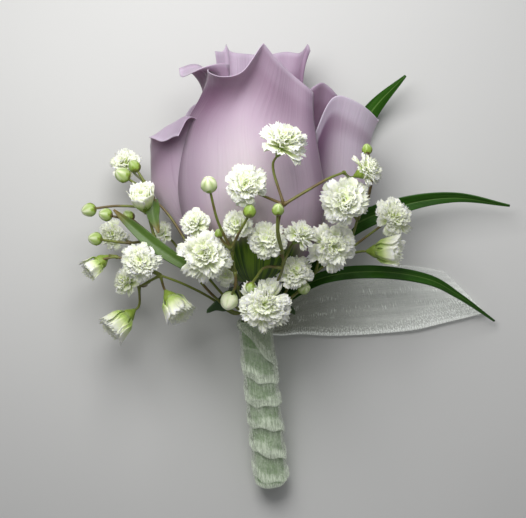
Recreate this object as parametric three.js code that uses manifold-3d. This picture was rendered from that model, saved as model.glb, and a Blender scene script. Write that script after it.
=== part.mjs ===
// Boutonniere lying on a table: a lavender rose bud, sprays of double gypsophila, three narrow
// leaves, a taped handle and a sheer ribbon. Millimetres, +Z up, the stems point along -Y.
// The origin is on the table, under the middle of the outline.
import * as THREE from "three";
import { mergeVertices } from "three/addons/utils/BufferGeometryUtils.js";
import Module from "manifold-3d";

// Driving dimensions
const OUTLINE_MIDDLE = new THREE.Vector3(8.03, -2.57, 0);
const GAP = 0.3;

// Rose: where the petals meet the hip, which way the bud points, and its petals
const ROSE_BASE = new THREE.Vector3(-1.6, -5.4, 14.5);
const ROSE_TILT_UP = 6;
const ROSE_TURN_RIGHT = 1.7;
const ROOT_RADIUS = 3.3;
const CUP_ANGLE = 82;
const SWELL = 1.02;
const CLOSING = 1.3;
const CUSP_WIDTH = 0.08;
const BULGE_WIDTH = { low: 0.7, gain: 0.4 };
const WALK_STEPS = 32;
const ROW_CROWDING = 0.5;
const PETAL_THICKNESS = 0.7;
const CORE_SIDES = 9;
const CORE_PROFILE = [
  [0, 0.4], [3.4, 0.4], [7.6, 1.2], [10.8, 3.4], [12.4, 6.4], [12.2, 10], [10, 17], [8.2, 26], [6.4, 35],
  [3, 39.5], [0, 40.5],
];

// Hip and sepals: the hip's outline as [radius, height], and a sepal's half width, how far from the
// axis it starts, and how low its root and tip hang
const HIP_PROFILE = [[0, -6], [1.5, -6], [2.2, -4.8], [3.7, -3.4], [4.1, -1.8], [3.7, -0.4], [3.1, 0], [0, 0]];
const HIP_SIDES = 8;
const SEPAL = { halfWidth: 1.6, start: 2.6, root: -1.2, drop: 3.4, keel: 0.25 };

// Handle: the bound stems, from the hip end down to the cut end
const HANDLE_TOP = new THREE.Vector3(-1.9, -13.7, 12.5);
const HANDLE_END = new THREE.Vector3(1.95, -50.8, 3.7);
const ROSE_STEM_RADIUS = 1.3;
const ROSE_STEM_SIDES = 6;
const ROSE_STEM_CUT = 1;
const HIP_FOOT = -5;
const STALK_RING = 2.05;
const STALK_RADIUS = 0.44;
const STALK_CUT = 1.2;
const STALK_START = 0.8;
const STALK_TIP = 1.1;
const STALK_FREE = 1.5;
const TAPE_BORE = 2.75;
const TAPE_RADIUS = 3.25;
const TAPE_RIDGE = 0.12;
const TAPE_TURNS = 6;
const TAPE_LAP = 0.6;
const TAPE_SIDES = 10;
const TAPE_ENDS = { hip: 0.1, cut: 0.3, wall: 0.6 };
const WRAP_BORE = 3.5;
const WRAP_RADIUS = 3.85;
const WRAP_STEP = 0.3;
const WRAP_PITCH = 6;
const WRAP_CRUMPLE = 0.08;
const WRAP_SIDES = 14;
const WRAP_ROWS_A_TURN = 3;
const WRAP_END_RADIUS = 1.6;
const WRAP_FOLD = 0.6;
const TAIL_RIPPLE = 0.35;

// Green parts of the gypsophila, and the leaves
const STEM_RADIUS = 0.42;
const STEM_SAG = 0.25;
const CALYX_LENGTH = 1.9;
const CALYX_RIM_RADIUS = 1.25;
const CALYX_FOOT_RADIUS = 0.5;
const FLORET_SHEET = 0.6;
const LEAF_THICKNESS = 0.6;
const LEAF_TIP_WIDTH = 0.2;
const LEAF_OUTLINE = { foot: 0.12, gain: 0.86, power: 0.8 };
const LEAF_ROW = 4.5;

const COLOURS = {
  petal: 0xc3abc6,
  hip: 0x2f4a2a,
  spray: 0x7f9a45,
  leaf: 0x2c5a2b,
  floret: 0xf2f4e8,
  tape: 0x86a877,
  ribbon: 0xdfe3df,
};

const wasm = await Module();
wasm.setup();

const rad = THREE.MathUtils.degToRad;
const smooth = THREE.MathUtils.smoothstep;
const vector = (point) => new THREE.Vector3(...point);

// Repeatable random numbers from 0 to 1
function randomFrom(seed) {
  let state = seed * 7919 + 17;
  return () => {
    state = (state * 1103515245 + 12345) % 2147483648;
    return state / 2147483648;
  };
}

// A closed geometry as a solid: shared corners merged, triangles that collapse at a pole dropped
function solid(geometry) {
  const bare = geometry.clone();
  bare.deleteAttribute("normal");
  bare.deleteAttribute("uv");
  const merged = mergeVertices(bare, 1e-4);
  const corners = merged.index.array;
  const kept = [];
  for (let i = 0; i < corners.length; i += 3) {
    const [a, b, c] = corners.slice(i, i + 3);
    if (a !== b && b !== c && c !== a) kept.push(a, b, c);
  }
  const shape = new wasm.Manifold(new wasm.Mesh({
    numProp: 3,
    vertProperties: new Float32Array(merged.attributes.position.array),
    triVerts: new Uint32Array(kept),
  }));
  return shape;
}

// The solids as one body: what stays loose is dropped and a sealed hollow is filled
function fuse(solids) {
  const joined = solids.slice(1).reduce((whole, next) => whole.add(next), solids[0]);
  const bodies = joined.decompose();
  return bodies.reduce((best, next) => (next.volume() > best.volume() ? next : best));
}

function geometryOf(shape) {
  const mesh = shape.getMesh();
  const geometry = new THREE.BufferGeometry();
  geometry.setAttribute("position", new THREE.BufferAttribute(mesh.vertProperties, 3));
  geometry.setIndex(new THREE.BufferAttribute(mesh.triVerts, 1));
  geometry.computeVertexNormals();
  return geometry;
}

function finish(colour, roughness) {
  return new THREE.MeshStandardMaterial({ color: colour, roughness, metalness: 0, side: THREE.DoubleSide });
}

function piece(name, shape, material) {
  const mesh = new THREE.Mesh(geometryOf(shape), material);
  mesh.name = name;
  return mesh;
}

// Turns a geometry whose axis is +Y so that it stands at a point along a direction
function along(geometry, foot, direction) {
  const turn = new THREE.Quaternion().setFromUnitVectors(new THREE.Vector3(0, 1, 0), direction);
  return geometry.applyQuaternion(turn).translate(foot.x, foot.y, foot.z);
}

// A thin closed blade. place(u, v) gives its outer face, with u from -1 to 1 across and v from 0 to 1
// along it; the inner face lies a thickness behind, and both faces are split by the same diagonals.
function blade(place, columns, rows, thickness, floor = -Infinity) {
  const outer = [];
  const inner = [];
  for (let j = 0; j <= rows; j += 1) {
    for (let i = 0; i <= columns; i += 1) {
      const u = (2 * i) / columns - 1;
      const v = j / rows;
      const point = place(u, v);
      const across = place(u + 0.01, v).sub(place(u - 0.01, v));
      const ahead = place(u, Math.min(v + 0.01, 1)).sub(place(u, Math.max(v - 0.01, 0)));
      const back = across.cross(ahead).normalize().multiplyScalar(-thickness);
      const behind = point.clone().add(back);
      point.z = Math.max(point.z, floor);
      behind.z = Math.max(behind.z, floor + thickness);
      outer.push(...point.toArray());
      inner.push(...behind.toArray());
    }
  }
  const wide = columns + 1;
  const offset = wide * (rows + 1);
  const at = (i, j) => j * wide + i;
  const faces = [];
  for (let j = 0; j < rows; j += 1) {
    for (let i = 0; i < columns; i += 1) {
      const [a, b, c, d] = [at(i, j), at(i + 1, j), at(i + 1, j + 1), at(i, j + 1)];
      faces.push(a, b, c, a, c, d);
      faces.push(offset + a, offset + c, offset + b, offset + a, offset + d, offset + c);
    }
  }
  const rim = [];
  for (let i = 0; i < columns; i += 1) rim.push(at(i, 0));
  for (let j = 0; j < rows; j += 1) rim.push(at(columns, j));
  for (let i = columns; i > 0; i -= 1) rim.push(at(i, rows));
  for (let j = rows; j > 0; j -= 1) rim.push(at(0, j));
  rim.forEach((here, k) => {
    const next = rim[(k + 1) % rim.length];
    faces.push(here, offset + here, offset + next, here, offset + next, next);
  });
  const geometry = new THREE.BufferGeometry();
  geometry.setAttribute("position", new THREE.Float32BufferAttribute([...outer, ...inner], 3));
  geometry.setIndex(faces);
  return geometry;
}

// A route through points, divided so that every point is met
class Route extends THREE.CatmullRomCurve3 {
  getPointAt(share, target) {
    return this.getPoint(share, target);
  }

  getTangentAt(share, target) {
    return this.getTangent(share, target);
  }
}

// A round rod through the points, with few sides
function rod(points, radius, step = 5.5, sides = 4) {
  const section = new THREE.Shape();
  for (let k = 0; k < sides; k += 1) {
    const angle = (2 * Math.PI * k) / sides;
    const [x, y] = [radius * Math.cos(angle), radius * Math.sin(angle)];
    if (k === 0) section.moveTo(x, y);
    else section.lineTo(x, y);
  }
  section.closePath();
  const path = points.length === 2
    ? new THREE.LineCurve3(...points)
    : new Route(points, false, "centripetal");
  const spans = points.length - 1;
  const steps = points.length === 2 ? 1 : spans * Math.max(1, Math.round(path.getLength() / (spans * step)));
  return new THREE.ExtrudeGeometry(section, { steps, extrudePath: path, curveSegments: 1 });
}

// Frame of the rose: its axis, the side that faces up and its right-hand side
const roseAxis = new THREE.Vector3(
  Math.cos(rad(ROSE_TILT_UP)) * Math.sin(rad(ROSE_TURN_RIGHT)),
  Math.cos(rad(ROSE_TILT_UP)) * Math.cos(rad(ROSE_TURN_RIGHT)),
  Math.sin(rad(ROSE_TILT_UP)),
);
const roseRight = new THREE.Vector3(Math.cos(rad(ROSE_TURN_RIGHT)), -Math.sin(rad(ROSE_TURN_RIGHT)), 0);
const roseUp = roseRight.clone().cross(roseAxis);

function rosePoint(forward, radius, azimuth) {
  return ROSE_BASE.clone()
    .addScaledVector(roseAxis, forward)
    .addScaledVector(roseUp, radius * Math.cos(azimuth))
    .addScaledVector(roseRight, radius * Math.sin(azimuth));
}

// Petals, outermost first. Angles are in degrees round the rose from its upper side, to the right, and
// knots are [place, value], with places from -1 to 1 across or from 0 to 1 along. centre and half give
// the petal's place and half width; higher up it swings by turn and loses the share narrow, and left
// and right add degrees to its sides along it. belly is its radius, close pulls it in above. length is
// its middle length, rim what each place across adds to it, with a point of cusp millimetres at the
// place at. bend turns the rim out between the shares start and end of its length, later by late.
// bulge swells it round peak. from is where it leaves the core, floor keeps it off the table, grid is
// its columns and rows.
const DOME = [[-1, -7], [-0.5, -1.6], [0, 0], [0.5, -1.6], [1, -7]];
const level = (value) => [[-1, value], [1, value]];
const PLAIN_PETAL = {
  turn: 0, narrow: 0.15, close: 11, rim: DOME, cusp: 1.2, at: 0, start: 0.74, end: 1.1, late: level(0),
  left: level(0), right: level(0), bulge: 0, peak: 0, spread: 0.5, rise: [0.05, 0.55], grid: [4, 4],
};
const PETALS = [
  { centre: 180, half: 62, narrow: 0.2, belly: 19.7, close: 9, length: 48, bend: level(50), from: 0.1,
    floor: 0, grid: [8, 7] },
  { centre: 86, half: 54, narrow: 0.04, belly: 15.6, close: 7, length: 48, cusp: 2, at: 0.14,
    bulge: 8.2, peak: 0.12, spread: 0.48,
    rim: [[-1, -15], [-0.75, -8], [-0.52, -1], [-0.3, -1.4], [0.12, -7], [0.5, -8], [1, -10]],
    bend: [[-1, 0], [-0.7, 0], [-0.4, 15], [0.1, 32], [1, 30]], from: 0.12, floor: 0, grid: [8, 8] },
  { centre: -102, half: 48, narrow: 0.04, belly: 15.6, close: 7, length: 46, cusp: 0.5, at: 0.4,
    bulge: 8.4, peak: 0.14, spread: 0.45, rise: [0.2, 0.78], start: 0.82, end: 0.94,
    rim: [[-1, -15], [-0.4, -13], [0, -12], [0.25, -11], [0.38, -9.6], [0.5, -6], [0.65, -0.6], [0.85, 2.2],
      [1, 2]],
    bend: [[-1, 10], [0, 0], [0.25, 10], [0.38, 50], [0.5, 110], [0.65, 150], [0.85, 155], [1, 150]],
    late: [[-1, 0], [0.2, 0.08], [0.38, 0.08], [0.5, 0.05], [0.7, 0], [1, 0]], from: 0.12, floor: 0,
    grid: [9, 12] },
  { centre: -7.5, half: 60, turn: 9.5, narrow: 0.16, belly: 21.8, close: 24, length: 58.7, cusp: 1.6,
    at: 0.02, start: 0.8, end: 1.04,
    rim: [[-1, -4.6], [-0.8, -3.6], [-0.5, -3.2], [-0.25, -2.8], [0.02, 0], [0.3, -2.6], [0.6, -5.4], [1, -9]],
    bend: [[-1, 20], [-0.8, 70], [-0.5, 95], [-0.25, 80], [-0.02, 30], [0.3, 10], [1, 12]],
    left: [[0, 0], [0.35, -4], [0.5, -7], [0.62, -11], [0.76, -18.5], [0.88, -5], [0.95, 2], [1, 6]],
    right: [[0, 0], [0.5, 0], [0.7, -6], [0.85, -9], [1, -10.5]], from: 0.1, floor: 1, grid: [9, 11] },
  { centre: 70, half: 36, narrow: 0.1, belly: 15.8, close: 8, length: 51, cusp: 0.4,
    bulge: 3.6, peak: 0.9, spread: 0.7, rise: [0.3, 0.8],
    rim: [[-1, -3], [-0.75, -1.4], [-0.5, -0.8], [-0.25, -2], [0, -4], [0.5, -6], [1, -8]],
    bend: [[-1, 0], [0, 14], [1, 10]], from: 0.2, floor: 1, grid: [5, 6] },
  { centre: 134, half: 48, belly: 15.2, close: 9, length: 46, bend: level(40), from: 0.22, floor: 1,
    grid: [5, 5] },
  { centre: -134, half: 50, belly: 15.2, close: 9, length: 45, bend: level(46), from: 0.22, floor: 1,
    grid: [5, 5] },
  { centre: -68, half: 42, belly: 14.4, close: 12, length: 57, cusp: 1.6, at: -0.26, start: 0.84, end: 0.975,
    rim: [[-1, -6], [-0.4, -1.2], [0, 0], [0.4, 0], [1, -4]],
    bend: [[-1, 30], [-0.5, 80], [-0.2, 115], [0.1, 125], [0.5, 105], [0.8, 60], [1, 10]],
    from: 0.22, floor: 2, grid: [7, 9] },
  { centre: -150, half: 44, belly: 14.4, length: 57, bend: level(26), cusp: 1.8, at: 0.5,
    rim: [[-1, -2.4], [-0.5, -1.4], [0.3, -1], [0.5, -0.9], [0.7, -1], [1, -0.8]],
    right: [[0, 0], [0.6, 0], [0.9, -18], [1, -20]], from: 0.24, floor: 2, grid: [5, 6] },
  { centre: 160, half: 36, belly: 13.6, close: 12, length: 57.5, cusp: 2, at: -0.92,
    rim: [[-1, -1.5], [-0.9, -0.8], [-0.6, -1.6], [-0.2, -1.4], [0.3, -2], [1, -4]],
    bend: [[-1, 36], [-0.7, 26], [-0.4, 20], [0.4, 10], [1, 6]], from: 0.24, floor: 2, grid: [5, 6] },
  { centre: 32, half: 46, belly: 13.2, length: 46, bend: level(4), from: 0.26, floor: 2 },
  { centre: 98, half: 46, belly: 12.6, length: 44, bend: level(6), from: 0.34, floor: 4 },
  { centre: -24, half: 48, belly: 12.4, close: 12, length: 47, bend: level(4), from: 0.34, floor: 4 },
  { centre: -104, half: 46, belly: 11.8, length: 48, bend: level(4), from: 0.38, floor: 4 },
  { centre: 176, half: 48, belly: 11.4, close: 10, length: 48, bend: level(4), from: 0.38, floor: 4 },
  { centre: 50, half: 58, belly: 10, close: 10, length: 46, bend: level(-6), cusp: 0.6, from: 0.46, floor: 4 },
  { centre: -72, half: 58, belly: 9.4, close: 10, length: 45, bend: level(-12), cusp: 0.6, from: 0.46,
    floor: 4 },
].map((petal) => ({ ...PLAIN_PETAL, ...petal }));

// A smooth curve through the knots
function between(knots, u) {
  const last = knots.length - 1;
  const found = knots.findIndex(([place]) => place >= u);
  const i = THREE.MathUtils.clamp(found < 0 ? last - 1 : found - 1, 0, last - 1);
  const slope = (k) => {
    const [a, b] = [knots[Math.max(k - 1, 0)], knots[Math.min(k + 1, last)]];
    return (b[1] - a[1]) / (b[0] - a[0]);
  };
  const [[left, low], [right, high]] = [knots[i], knots[i + 1]];
  const wide = right - left;
  const t = THREE.MathUtils.clamp((u - left) / wide, 0, 1);
  return low * (1 + 2 * t) * (1 - t) ** 2 + wide * slope(i) * t * (1 - t) ** 2
    + high * t * t * (3 - 2 * t) + wide * slope(i + 1) * t * t * (t - 1);
}

// The petal's side view is walked from its root: the heading starts as a wide cup, settles along the
// axis at the belly, closes and bends out again at the rim.
function petalPoint(petal, u, v) {
  const length = petal.length + between(petal.rim, u)
    + petal.cusp * Math.exp(-Math.abs(u - petal.at) / CUSP_WIDTH);
  const fall = (petal.belly - ROOT_RADIUS) / (SWELL * petal.length);
  const bend = between(petal.bend, u);
  const late = between(petal.late, u);
  let [forward, radius] = [GAP, ROOT_RADIUS];
  for (let k = 0; k < WALK_STEPS; k += 1) {
    const t = (v * (k + 0.5)) / WALK_STEPS;
    const far = (t * length) / petal.length;
    const closing = CLOSING * petal.close * far * Math.sin(Math.PI * Math.min(far, 1));
    const turned = bend * smooth(t, petal.start + late, petal.end + late);
    const heading = CUP_ANGLE * Math.exp(-far / fall) - closing + turned;
    forward += (Math.cos(rad(heading)) * length * v) / WALK_STEPS;
    radius += (Math.sin(rad(heading)) * length * v) / WALK_STEPS;
  }
  const wide = petal.spread * (BULGE_WIDTH.low + BULGE_WIDTH.gain * v);
  radius += petal.bulge * Math.exp(-(((u - petal.peak) / wide) ** 2)) * smooth(v, ...petal.rise);
  const upper = smooth(v, 0.5, 1);
  const half = petal.half * (1 - petal.narrow * upper);
  const sideways = (between(petal.left, v) * (1 - u)) / 2 + (between(petal.right, v) * (1 + u)) / 2;
  return rosePoint(forward, radius, rad(petal.centre + petal.turn * upper + half * u + sideways));
}

// The bloom: every petal as a blade whose rows lie closer towards its rim, on the core
function roseBloom() {
  const petals = PETALS.map((petal) => {
    const place = (u, v) => {
      const share = v * (1 + ROW_CROWDING * (1 - v));
      return petalPoint(petal, u, petal.from + (1 - petal.from) * share);
    };
    return solid(blade(place, ...petal.grid, PETAL_THICKNESS, petal.floor));
  });
  const profile = CORE_PROFILE.map(([radius, height]) => new THREE.Vector2(radius, height));
  const core = solid(along(new THREE.LatheGeometry(profile, CORE_SIDES), ROSE_BASE, roseAxis));
  return piece("rose_bloom", fuse([core, ...petals]), finish(COLOURS.petal, 0.6));
}

// Handle frame: distances run from the hip end to the cut end, angles start at its upper side
const handleWay = HANDLE_END.clone().sub(HANDLE_TOP).normalize();
const handleLength = HANDLE_END.distanceTo(HANDLE_TOP);
const handleUp = new THREE.Vector3(0, 0, 1).addScaledVector(handleWay, -handleWay.z).normalize();
const handleRight = handleUp.clone().cross(handleWay);

function handlePoint(distance, radius, angle) {
  return HANDLE_TOP.clone()
    .addScaledVector(handleWay, distance)
    .addScaledVector(handleUp, radius * Math.cos(rad(angle)))
    .addScaledVector(handleRight, radius * Math.sin(rad(angle)));
}

// A stalk's straight stretch inside the tape, and the two points where its free part begins
function boundStalk(angle) {
  const [low, tip, start, free] = [handleLength - STALK_CUT, -STALK_TIP, -STALK_START, -STALK_FREE]
    .map((distance) => handlePoint(distance, STALK_RING, angle));
  return { shape: solid(rod([low, tip], STALK_RADIUS)), entry: [start, free] };
}

const SEPALS = [
  { angle: -78, length: 11 }, { angle: -2, length: 8 }, { angle: 86, length: 6.5 },
  { angle: 150, length: 8 }, { angle: -145, length: 9 },
];

function roseCalyx() {
  const hip = HIP_PROFILE.map(([radius, height]) => new THREE.Vector2(radius, height));
  const hipEnd = rosePoint(HIP_FOOT, 0, 0);
  const stem = [handlePoint(handleLength - ROSE_STEM_CUT, 0, 0), HANDLE_TOP];
  const sepals = SEPALS.map(({ angle, length }) => solid(blade((u, v) => {
    const width = SEPAL.halfWidth * Math.cos(v * 1.45);
    const reach = SEPAL.start + length * v;
    const height = SEPAL.root - SEPAL.drop * v * v + SEPAL.keel * u * u;
    return rosePoint(height, reach, rad(angle) + (width * u) / reach);
  }, 2, 4, LEAF_THICKNESS)));
  const shapes = [
    solid(along(new THREE.LatheGeometry(hip, HIP_SIDES), ROSE_BASE, roseAxis)),
    solid(rod(stem, ROSE_STEM_RADIUS, 9, ROSE_STEM_SIDES)),
    solid(rod([handlePoint(1, 0, 0), HANDLE_TOP, hipEnd], ROSE_STEM_RADIUS, 4, ROSE_STEM_SIDES)),
    ...sepals,
  ];
  return piece("rose_calyx", fuse(shapes), finish(COLOURS.hip, 0.5));
}

// Tape: a sleeve with shallow ridges where its turns overlap, open at the hip end
function floralTape() {
  const [upper, lower] = [TAPE_ENDS.hip, handleLength + TAPE_ENDS.cut];
  const outline = [[0, upper]];
  for (let k = 0; k <= TAPE_TURNS; k += 1) {
    const height = upper + (k * (lower - upper)) / TAPE_TURNS;
    outline.push([TAPE_RADIUS - TAPE_RIDGE, height]);
    if (k < TAPE_TURNS) outline.push([TAPE_RADIUS, height + TAPE_LAP]);
  }
  outline.push([0, lower]);
  const profile = outline.map(([radius, height]) => new THREE.Vector2(radius, height));
  const sleeve = solid(along(new THREE.LatheGeometry(profile, TAPE_SIDES), HANDLE_TOP, handleWay));
  const bore = new THREE.CylinderGeometry(TAPE_BORE, TAPE_BORE, handleLength + 2, TAPE_SIDES);
  bore.translate(0, handleLength / 2 - 1 - TAPE_ENDS.wall, 0);
  const shape = sleeve.subtract(solid(along(bore, HANDLE_TOP, handleWay)));
  return piece("floral_tape", shape, finish(COLOURS.tape, 0.8));
}

// Ribbon wrap: each turn steps out over the next one, and the lower end is folded over the tape.
// Its rings of corners run down the handle and end in those of the rounded cut end.
const WRAP_END = [{ shrink: 0.85, beyond: 0.8 }, { shrink: 0.5, beyond: 1.5 }];

function ribbonWrap() {
  const rows = Math.round((handleLength * WRAP_ROWS_A_TURN) / WRAP_PITCH);
  const positions = [];
  for (let j = 0; j <= rows; j += 1) {
    for (let i = 0; i < WRAP_SIDES; i += 1) {
      const angle = (360 * i) / WRAP_SIDES;
      const distance = (j * handleLength) / rows;
      const lap = THREE.MathUtils.euclideanModulo(distance / WRAP_PITCH - i / WRAP_SIDES, 1);
      const crumple = WRAP_CRUMPLE * Math.sin(3 * rad(angle) + 1.3 * j);
      const radius = WRAP_RADIUS + WRAP_STEP * lap + crumple;
      positions.push(...handlePoint(distance, radius, angle).toArray());
    }
  }
  WRAP_END.forEach(({ shrink, beyond }) => {
    for (let i = 0; i < WRAP_SIDES; i += 1) {
      const radius = WRAP_END_RADIUS + (WRAP_RADIUS - WRAP_END_RADIUS) * shrink;
      positions.push(...handlePoint(handleLength + beyond, radius, (360 * i) / WRAP_SIDES).toArray());
    }
  });
  const last = rows + WRAP_END.length;
  const [top, bottom] = [positions.length / 3, positions.length / 3 + 1];
  positions.push(...HANDLE_TOP.toArray(), ...handlePoint(handleLength + WRAP_END[1].beyond, 0, 0).toArray());
  const faces = [];
  for (let i = 0; i < WRAP_SIDES; i += 1) {
    const next = (i + 1) % WRAP_SIDES;
    faces.push(top, i, next);
    for (let j = 0; j < last; j += 1) {
      const [a, b] = [j * WRAP_SIDES + i, j * WRAP_SIDES + next];
      faces.push(a, a + WRAP_SIDES, b + WRAP_SIDES, a, b + WRAP_SIDES, b);
    }
    faces.push(bottom, last * WRAP_SIDES + next, last * WRAP_SIDES + i);
  }
  const geometry = new THREE.BufferGeometry();
  geometry.setAttribute("position", new THREE.Float32BufferAttribute(positions, 3));
  geometry.setIndex(faces);
  const bore = new THREE.CylinderGeometry(WRAP_BORE, WRAP_BORE, handleLength + 2, WRAP_SIDES);
  bore.translate(0, handleLength / 2 - 1 + WRAP_FOLD, 0);
  const table = new THREE.BoxGeometry(200, 200, 20).translate(0, 0, -10);
  const shape = solid(geometry)
    .subtract(solid(along(bore, HANDLE_TOP, handleWay)))
    .subtract(solid(table));
  return piece("ribbon_wrap", shape, finish(COLOURS.ribbon, 0.35));
}

// Ribbon end: gathered beside the handle, then laid out flat and cut on the slant
const TAIL_NEAR_EDGE = [[1.5, -17.2, 7.9], [4.4, -17.6, 4.4], [8.6, -17.4, 1.6], [15.5, -17.8, 1.2],
  [25.2, -17.4, 1], [35.2, -16.4, 1.2], [42.1, -14.8, 1], [51.6, -12.5, 1]];
const TAIL_FAR_EDGE = [[2.15, -14.3, 9.4], [5, -11, 6.8], [9.5, -6.6, 4], [15, -3.6, 2.4],
  [21, -2.1, 1.8], [31.7, -1.4, 1.6], [37, -1.9, 1.4], [42.1, -2.8, 1.4]];

function ribbonTail() {
  const near = new THREE.CatmullRomCurve3(TAIL_NEAR_EDGE.map(vector));
  const far = new THREE.CatmullRomCurve3(TAIL_FAR_EDGE.map(vector));
  const place = (u, v) => {
    const point = near.getPoint(v).lerp(far.getPoint(v), (1 + u) / 2);
    point.z += TAIL_RIPPLE * (1 + Math.sin(9 * v + 2 * u) * (1 - u * u));
    return point;
  };
  const shape = solid(blade(place, 4, 14, LEAF_THICKNESS));
  return piece("ribbon_tail", shape, finish(COLOURS.ribbon, 0.35));
}

// A leaf's blade along its spine: widest before the middle and folded along the midrib
function leafBlade(spine, width, fold, roll) {
  const curve = new THREE.CatmullRomCurve3(spine.map(vector), false, "centripetal");
  const { foot, gain, power } = LEAF_OUTLINE;
  return solid(blade((u, t) => {
    const ahead = curve.getTangent(t);
    const right = ahead.clone().cross(new THREE.Vector3(0, 0, 1)).normalize();
    const up = right.clone().cross(ahead);
    const tipped = rad(roll[0] + (roll[1] - roll[0]) * t);
    const across = right.multiplyScalar(Math.cos(tipped)).addScaledVector(up, Math.sin(tipped));
    const half = (width / 2) * Math.sin(Math.PI * (foot + gain * t) ** power) + LEAF_TIP_WIDTH;
    const point = curve.getPoint(t).addScaledVector(across, half * u);
    point.z += fold * Math.abs(u) * half;
    return point;
  }, 2, Math.round(curve.getLength() / LEAF_ROW), LEAF_THICKNESS));
}

const LEAVES = [
  { name: "leaf_upper", angle: -162, width: 4.6, fold: 0.2, roll: [0, 12],
    stalk: [[-1.2, -9.6, 6], [2, -5, 3.6]],
    spine: [[1.4, -5.8, 4], [5.5, 0, 2.4], [12, 10, 1.5], [19, 23, 2], [25, 34, 4.2], [32.4, 41.7, 8.5]] },
  { name: "leaf_right", angle: 162, width: 4.2, fold: 0.35, roll: [0, -25],
    stalk: [[1.6, -10.8, 9.2], [5, -7, 8.4]],
    spine: [[4.4, -7.6, 8.6], [11, -1, 7.6], [18.9, 6.6, 7], [31, 12, 8], [43.6, 13.9, 8], [56.6, 12.1, 5.5]] },
  { name: "leaf_lower", angle: 126, width: 3.6, fold: 0.3, roll: [0, 30],
    stalk: [[1.8, -11.4, 11.4], [5.4, -8.7, 12.2]],
    spine: [[4.8, -9.2, 12], [12.8, -4.4, 15.2], [24.4, -2.8, 15], [37.8, -4.7, 11], [45, -8.5, 7],
      [53.7, -14.3, 2]] },
];

function leaf({ name, angle, width, fold, roll, stalk, spine }) {
  const bound = boundStalk(angle);
  const free = solid(rod([...bound.entry, ...stalk.map(vector)], STALK_RADIUS));
  return piece(name, fuse([leafBlade(spine, width, fold, roll), free, bound.shape]), finish(COLOURS.leaf, 0.4));
}

// Florets: kind, middle of the head, the way it faces, and its radius
const FLORETS = {
  floret_top: ["pompon", [4.6, 24.6, 45.5], [0.38, 0.74, 0.55], 5],
  floret_upper_middle: ["pompon", [-3.5, 15.5, 44], [0, 0.1, 1], 4.1],
  floret_left_large: ["pompon", [-12.4, 1, 34.5], [-0.1, 0.1, 1], 5.2],
  floret_left_behind: ["small", [-14.7, 7.9, 33.4], [-0.25, 0.4, 0.88], 3.1],
  floret_middle_pale: ["small", [-5.6, 7.5, 37.4], [0, 0.3, 0.95], 3.2],
  floret_middle: ["pompon", [0.7, 4.2, 36.6], [-0.1, 0.1, 1], 3.8],
  floret_middle_side: ["pompon", [8.4, 5.6, 35.4], [0.5, 0.6, 0.6], 3.2],
  floret_lower_middle: ["pompon", [7, -2.4, 28.6], [0.1, 0.35, 0.93], 3.6],
  floret_front: ["pompon", [0.4, -9.8, 29.5], [0.1, 0.05, 1], 5.4],
  floret_front_left: ["small", [-8, -3.4, 27.4], [-0.1, 0.1, 1], 2.4],
  floret_right_large: ["pompon", [15, 2.8, 29.4], [0.25, -0.1, 0.96], 5],
  floret_right_high: ["pompon", [17.4, 12.4, 36.2], [0, 0.1, 1], 4.8],
  floret_right_side: ["pompon", [22.6, 19, 35.8], [0.8, 0.35, 0.4], 3.6],
  floret_right_far: ["pompon", [29.2, 9.2, 19], [0.3, 0.2, 0.93], 4.1],
  floret_right_bell: ["bell", [28, 1.8, 20.6], [0.96, 0.02, 0.25], 3.4],
  floret_left_top: ["small", [-31.4, 21.9, 11.5], [-0.3, 0.35, 0.85], 3.4],
  floret_left_bell: ["bell", [-26.5, 13.7, 22.4], [-0.1, 0.7, 0.7], 3],
  floret_left_low: ["small", [-34.4, 5.6, 10], [-0.3, 0.1, 0.95], 3.2],
  floret_left_middle: ["pompon", [-26.8, -0.4, 24], [-0.05, 0.1, 1], 4.1],
  floret_left_under: ["small", [-31.4, -4.8, 11.8], [-0.7, 0.25, 0.65], 3.3],
  floret_low_bell: ["bell", [-32.6, -14.7, 15.4], [-0.72, -0.62, 0.3], 3.4],
  floret_near_bell: ["bell", [-19, -11, 20.4], [0.5, -0.75, 0.42], 3.4],
  floret_left_small: ["small", [-22.8, 6.2, 12.8], [-0.4, 0.4, 0.82], 2.4],
  floret_half_open: ["bell", [-37.9, -1.8, 17], [-0.75, -0.55, 0.35], 2.4],
};

// A head as rings of corners from its foot up and in to its middle, in radii: how far out and how
// high the gaps and the petal tips lie. The second ring is the first one's other face.
const POMPON_RINGS = [
  { gap: [0.78, 0.27], tip: [1, 0.34] },
  { gap: [0.75, 0.27], tip: [0.97, 0.34], lifted: true },
  { gap: [0.4, 0.44], tip: [0.4, 0.44] },
  { gap: [0.61, 0.61], tip: [0.78, 0.76], staggered: true },
  { gap: [0.24, 0.56], tip: [0.24, 0.56] },
  { gap: [0.33, 0.76], tip: [0.42, 0.96] },
];
const HEADS = {
  pompon: { petals: 8, middle: 0.45, pit: 0.62, rings: POMPON_RINGS },
  small: { petals: 6, middle: 0.45, pit: 0.62, rings: POMPON_RINGS },
  bell: {
    petals: 6, middle: 0.9, pit: 1.15,
    rings: [
      { gap: [0.38, 0.14], tip: [0.38, 0.14] },
      { gap: [0.58, 1.05], tip: [0.88, 1.6] },
      { gap: [0.42, 1.15], tip: [0.7, 1.72] },
      { gap: [0.3, 1.05], tip: [0.3, 1.05] },
      { gap: [0.28, 1.3], tip: [0.44, 1.7], staggered: true },
    ],
  },
};

function floretFoot([kind, middle, facing, radius]) {
  const way = vector(facing).normalize();
  return { way, foot: vector(middle).addScaledVector(way, -HEADS[kind].middle * radius) };
}

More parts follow.
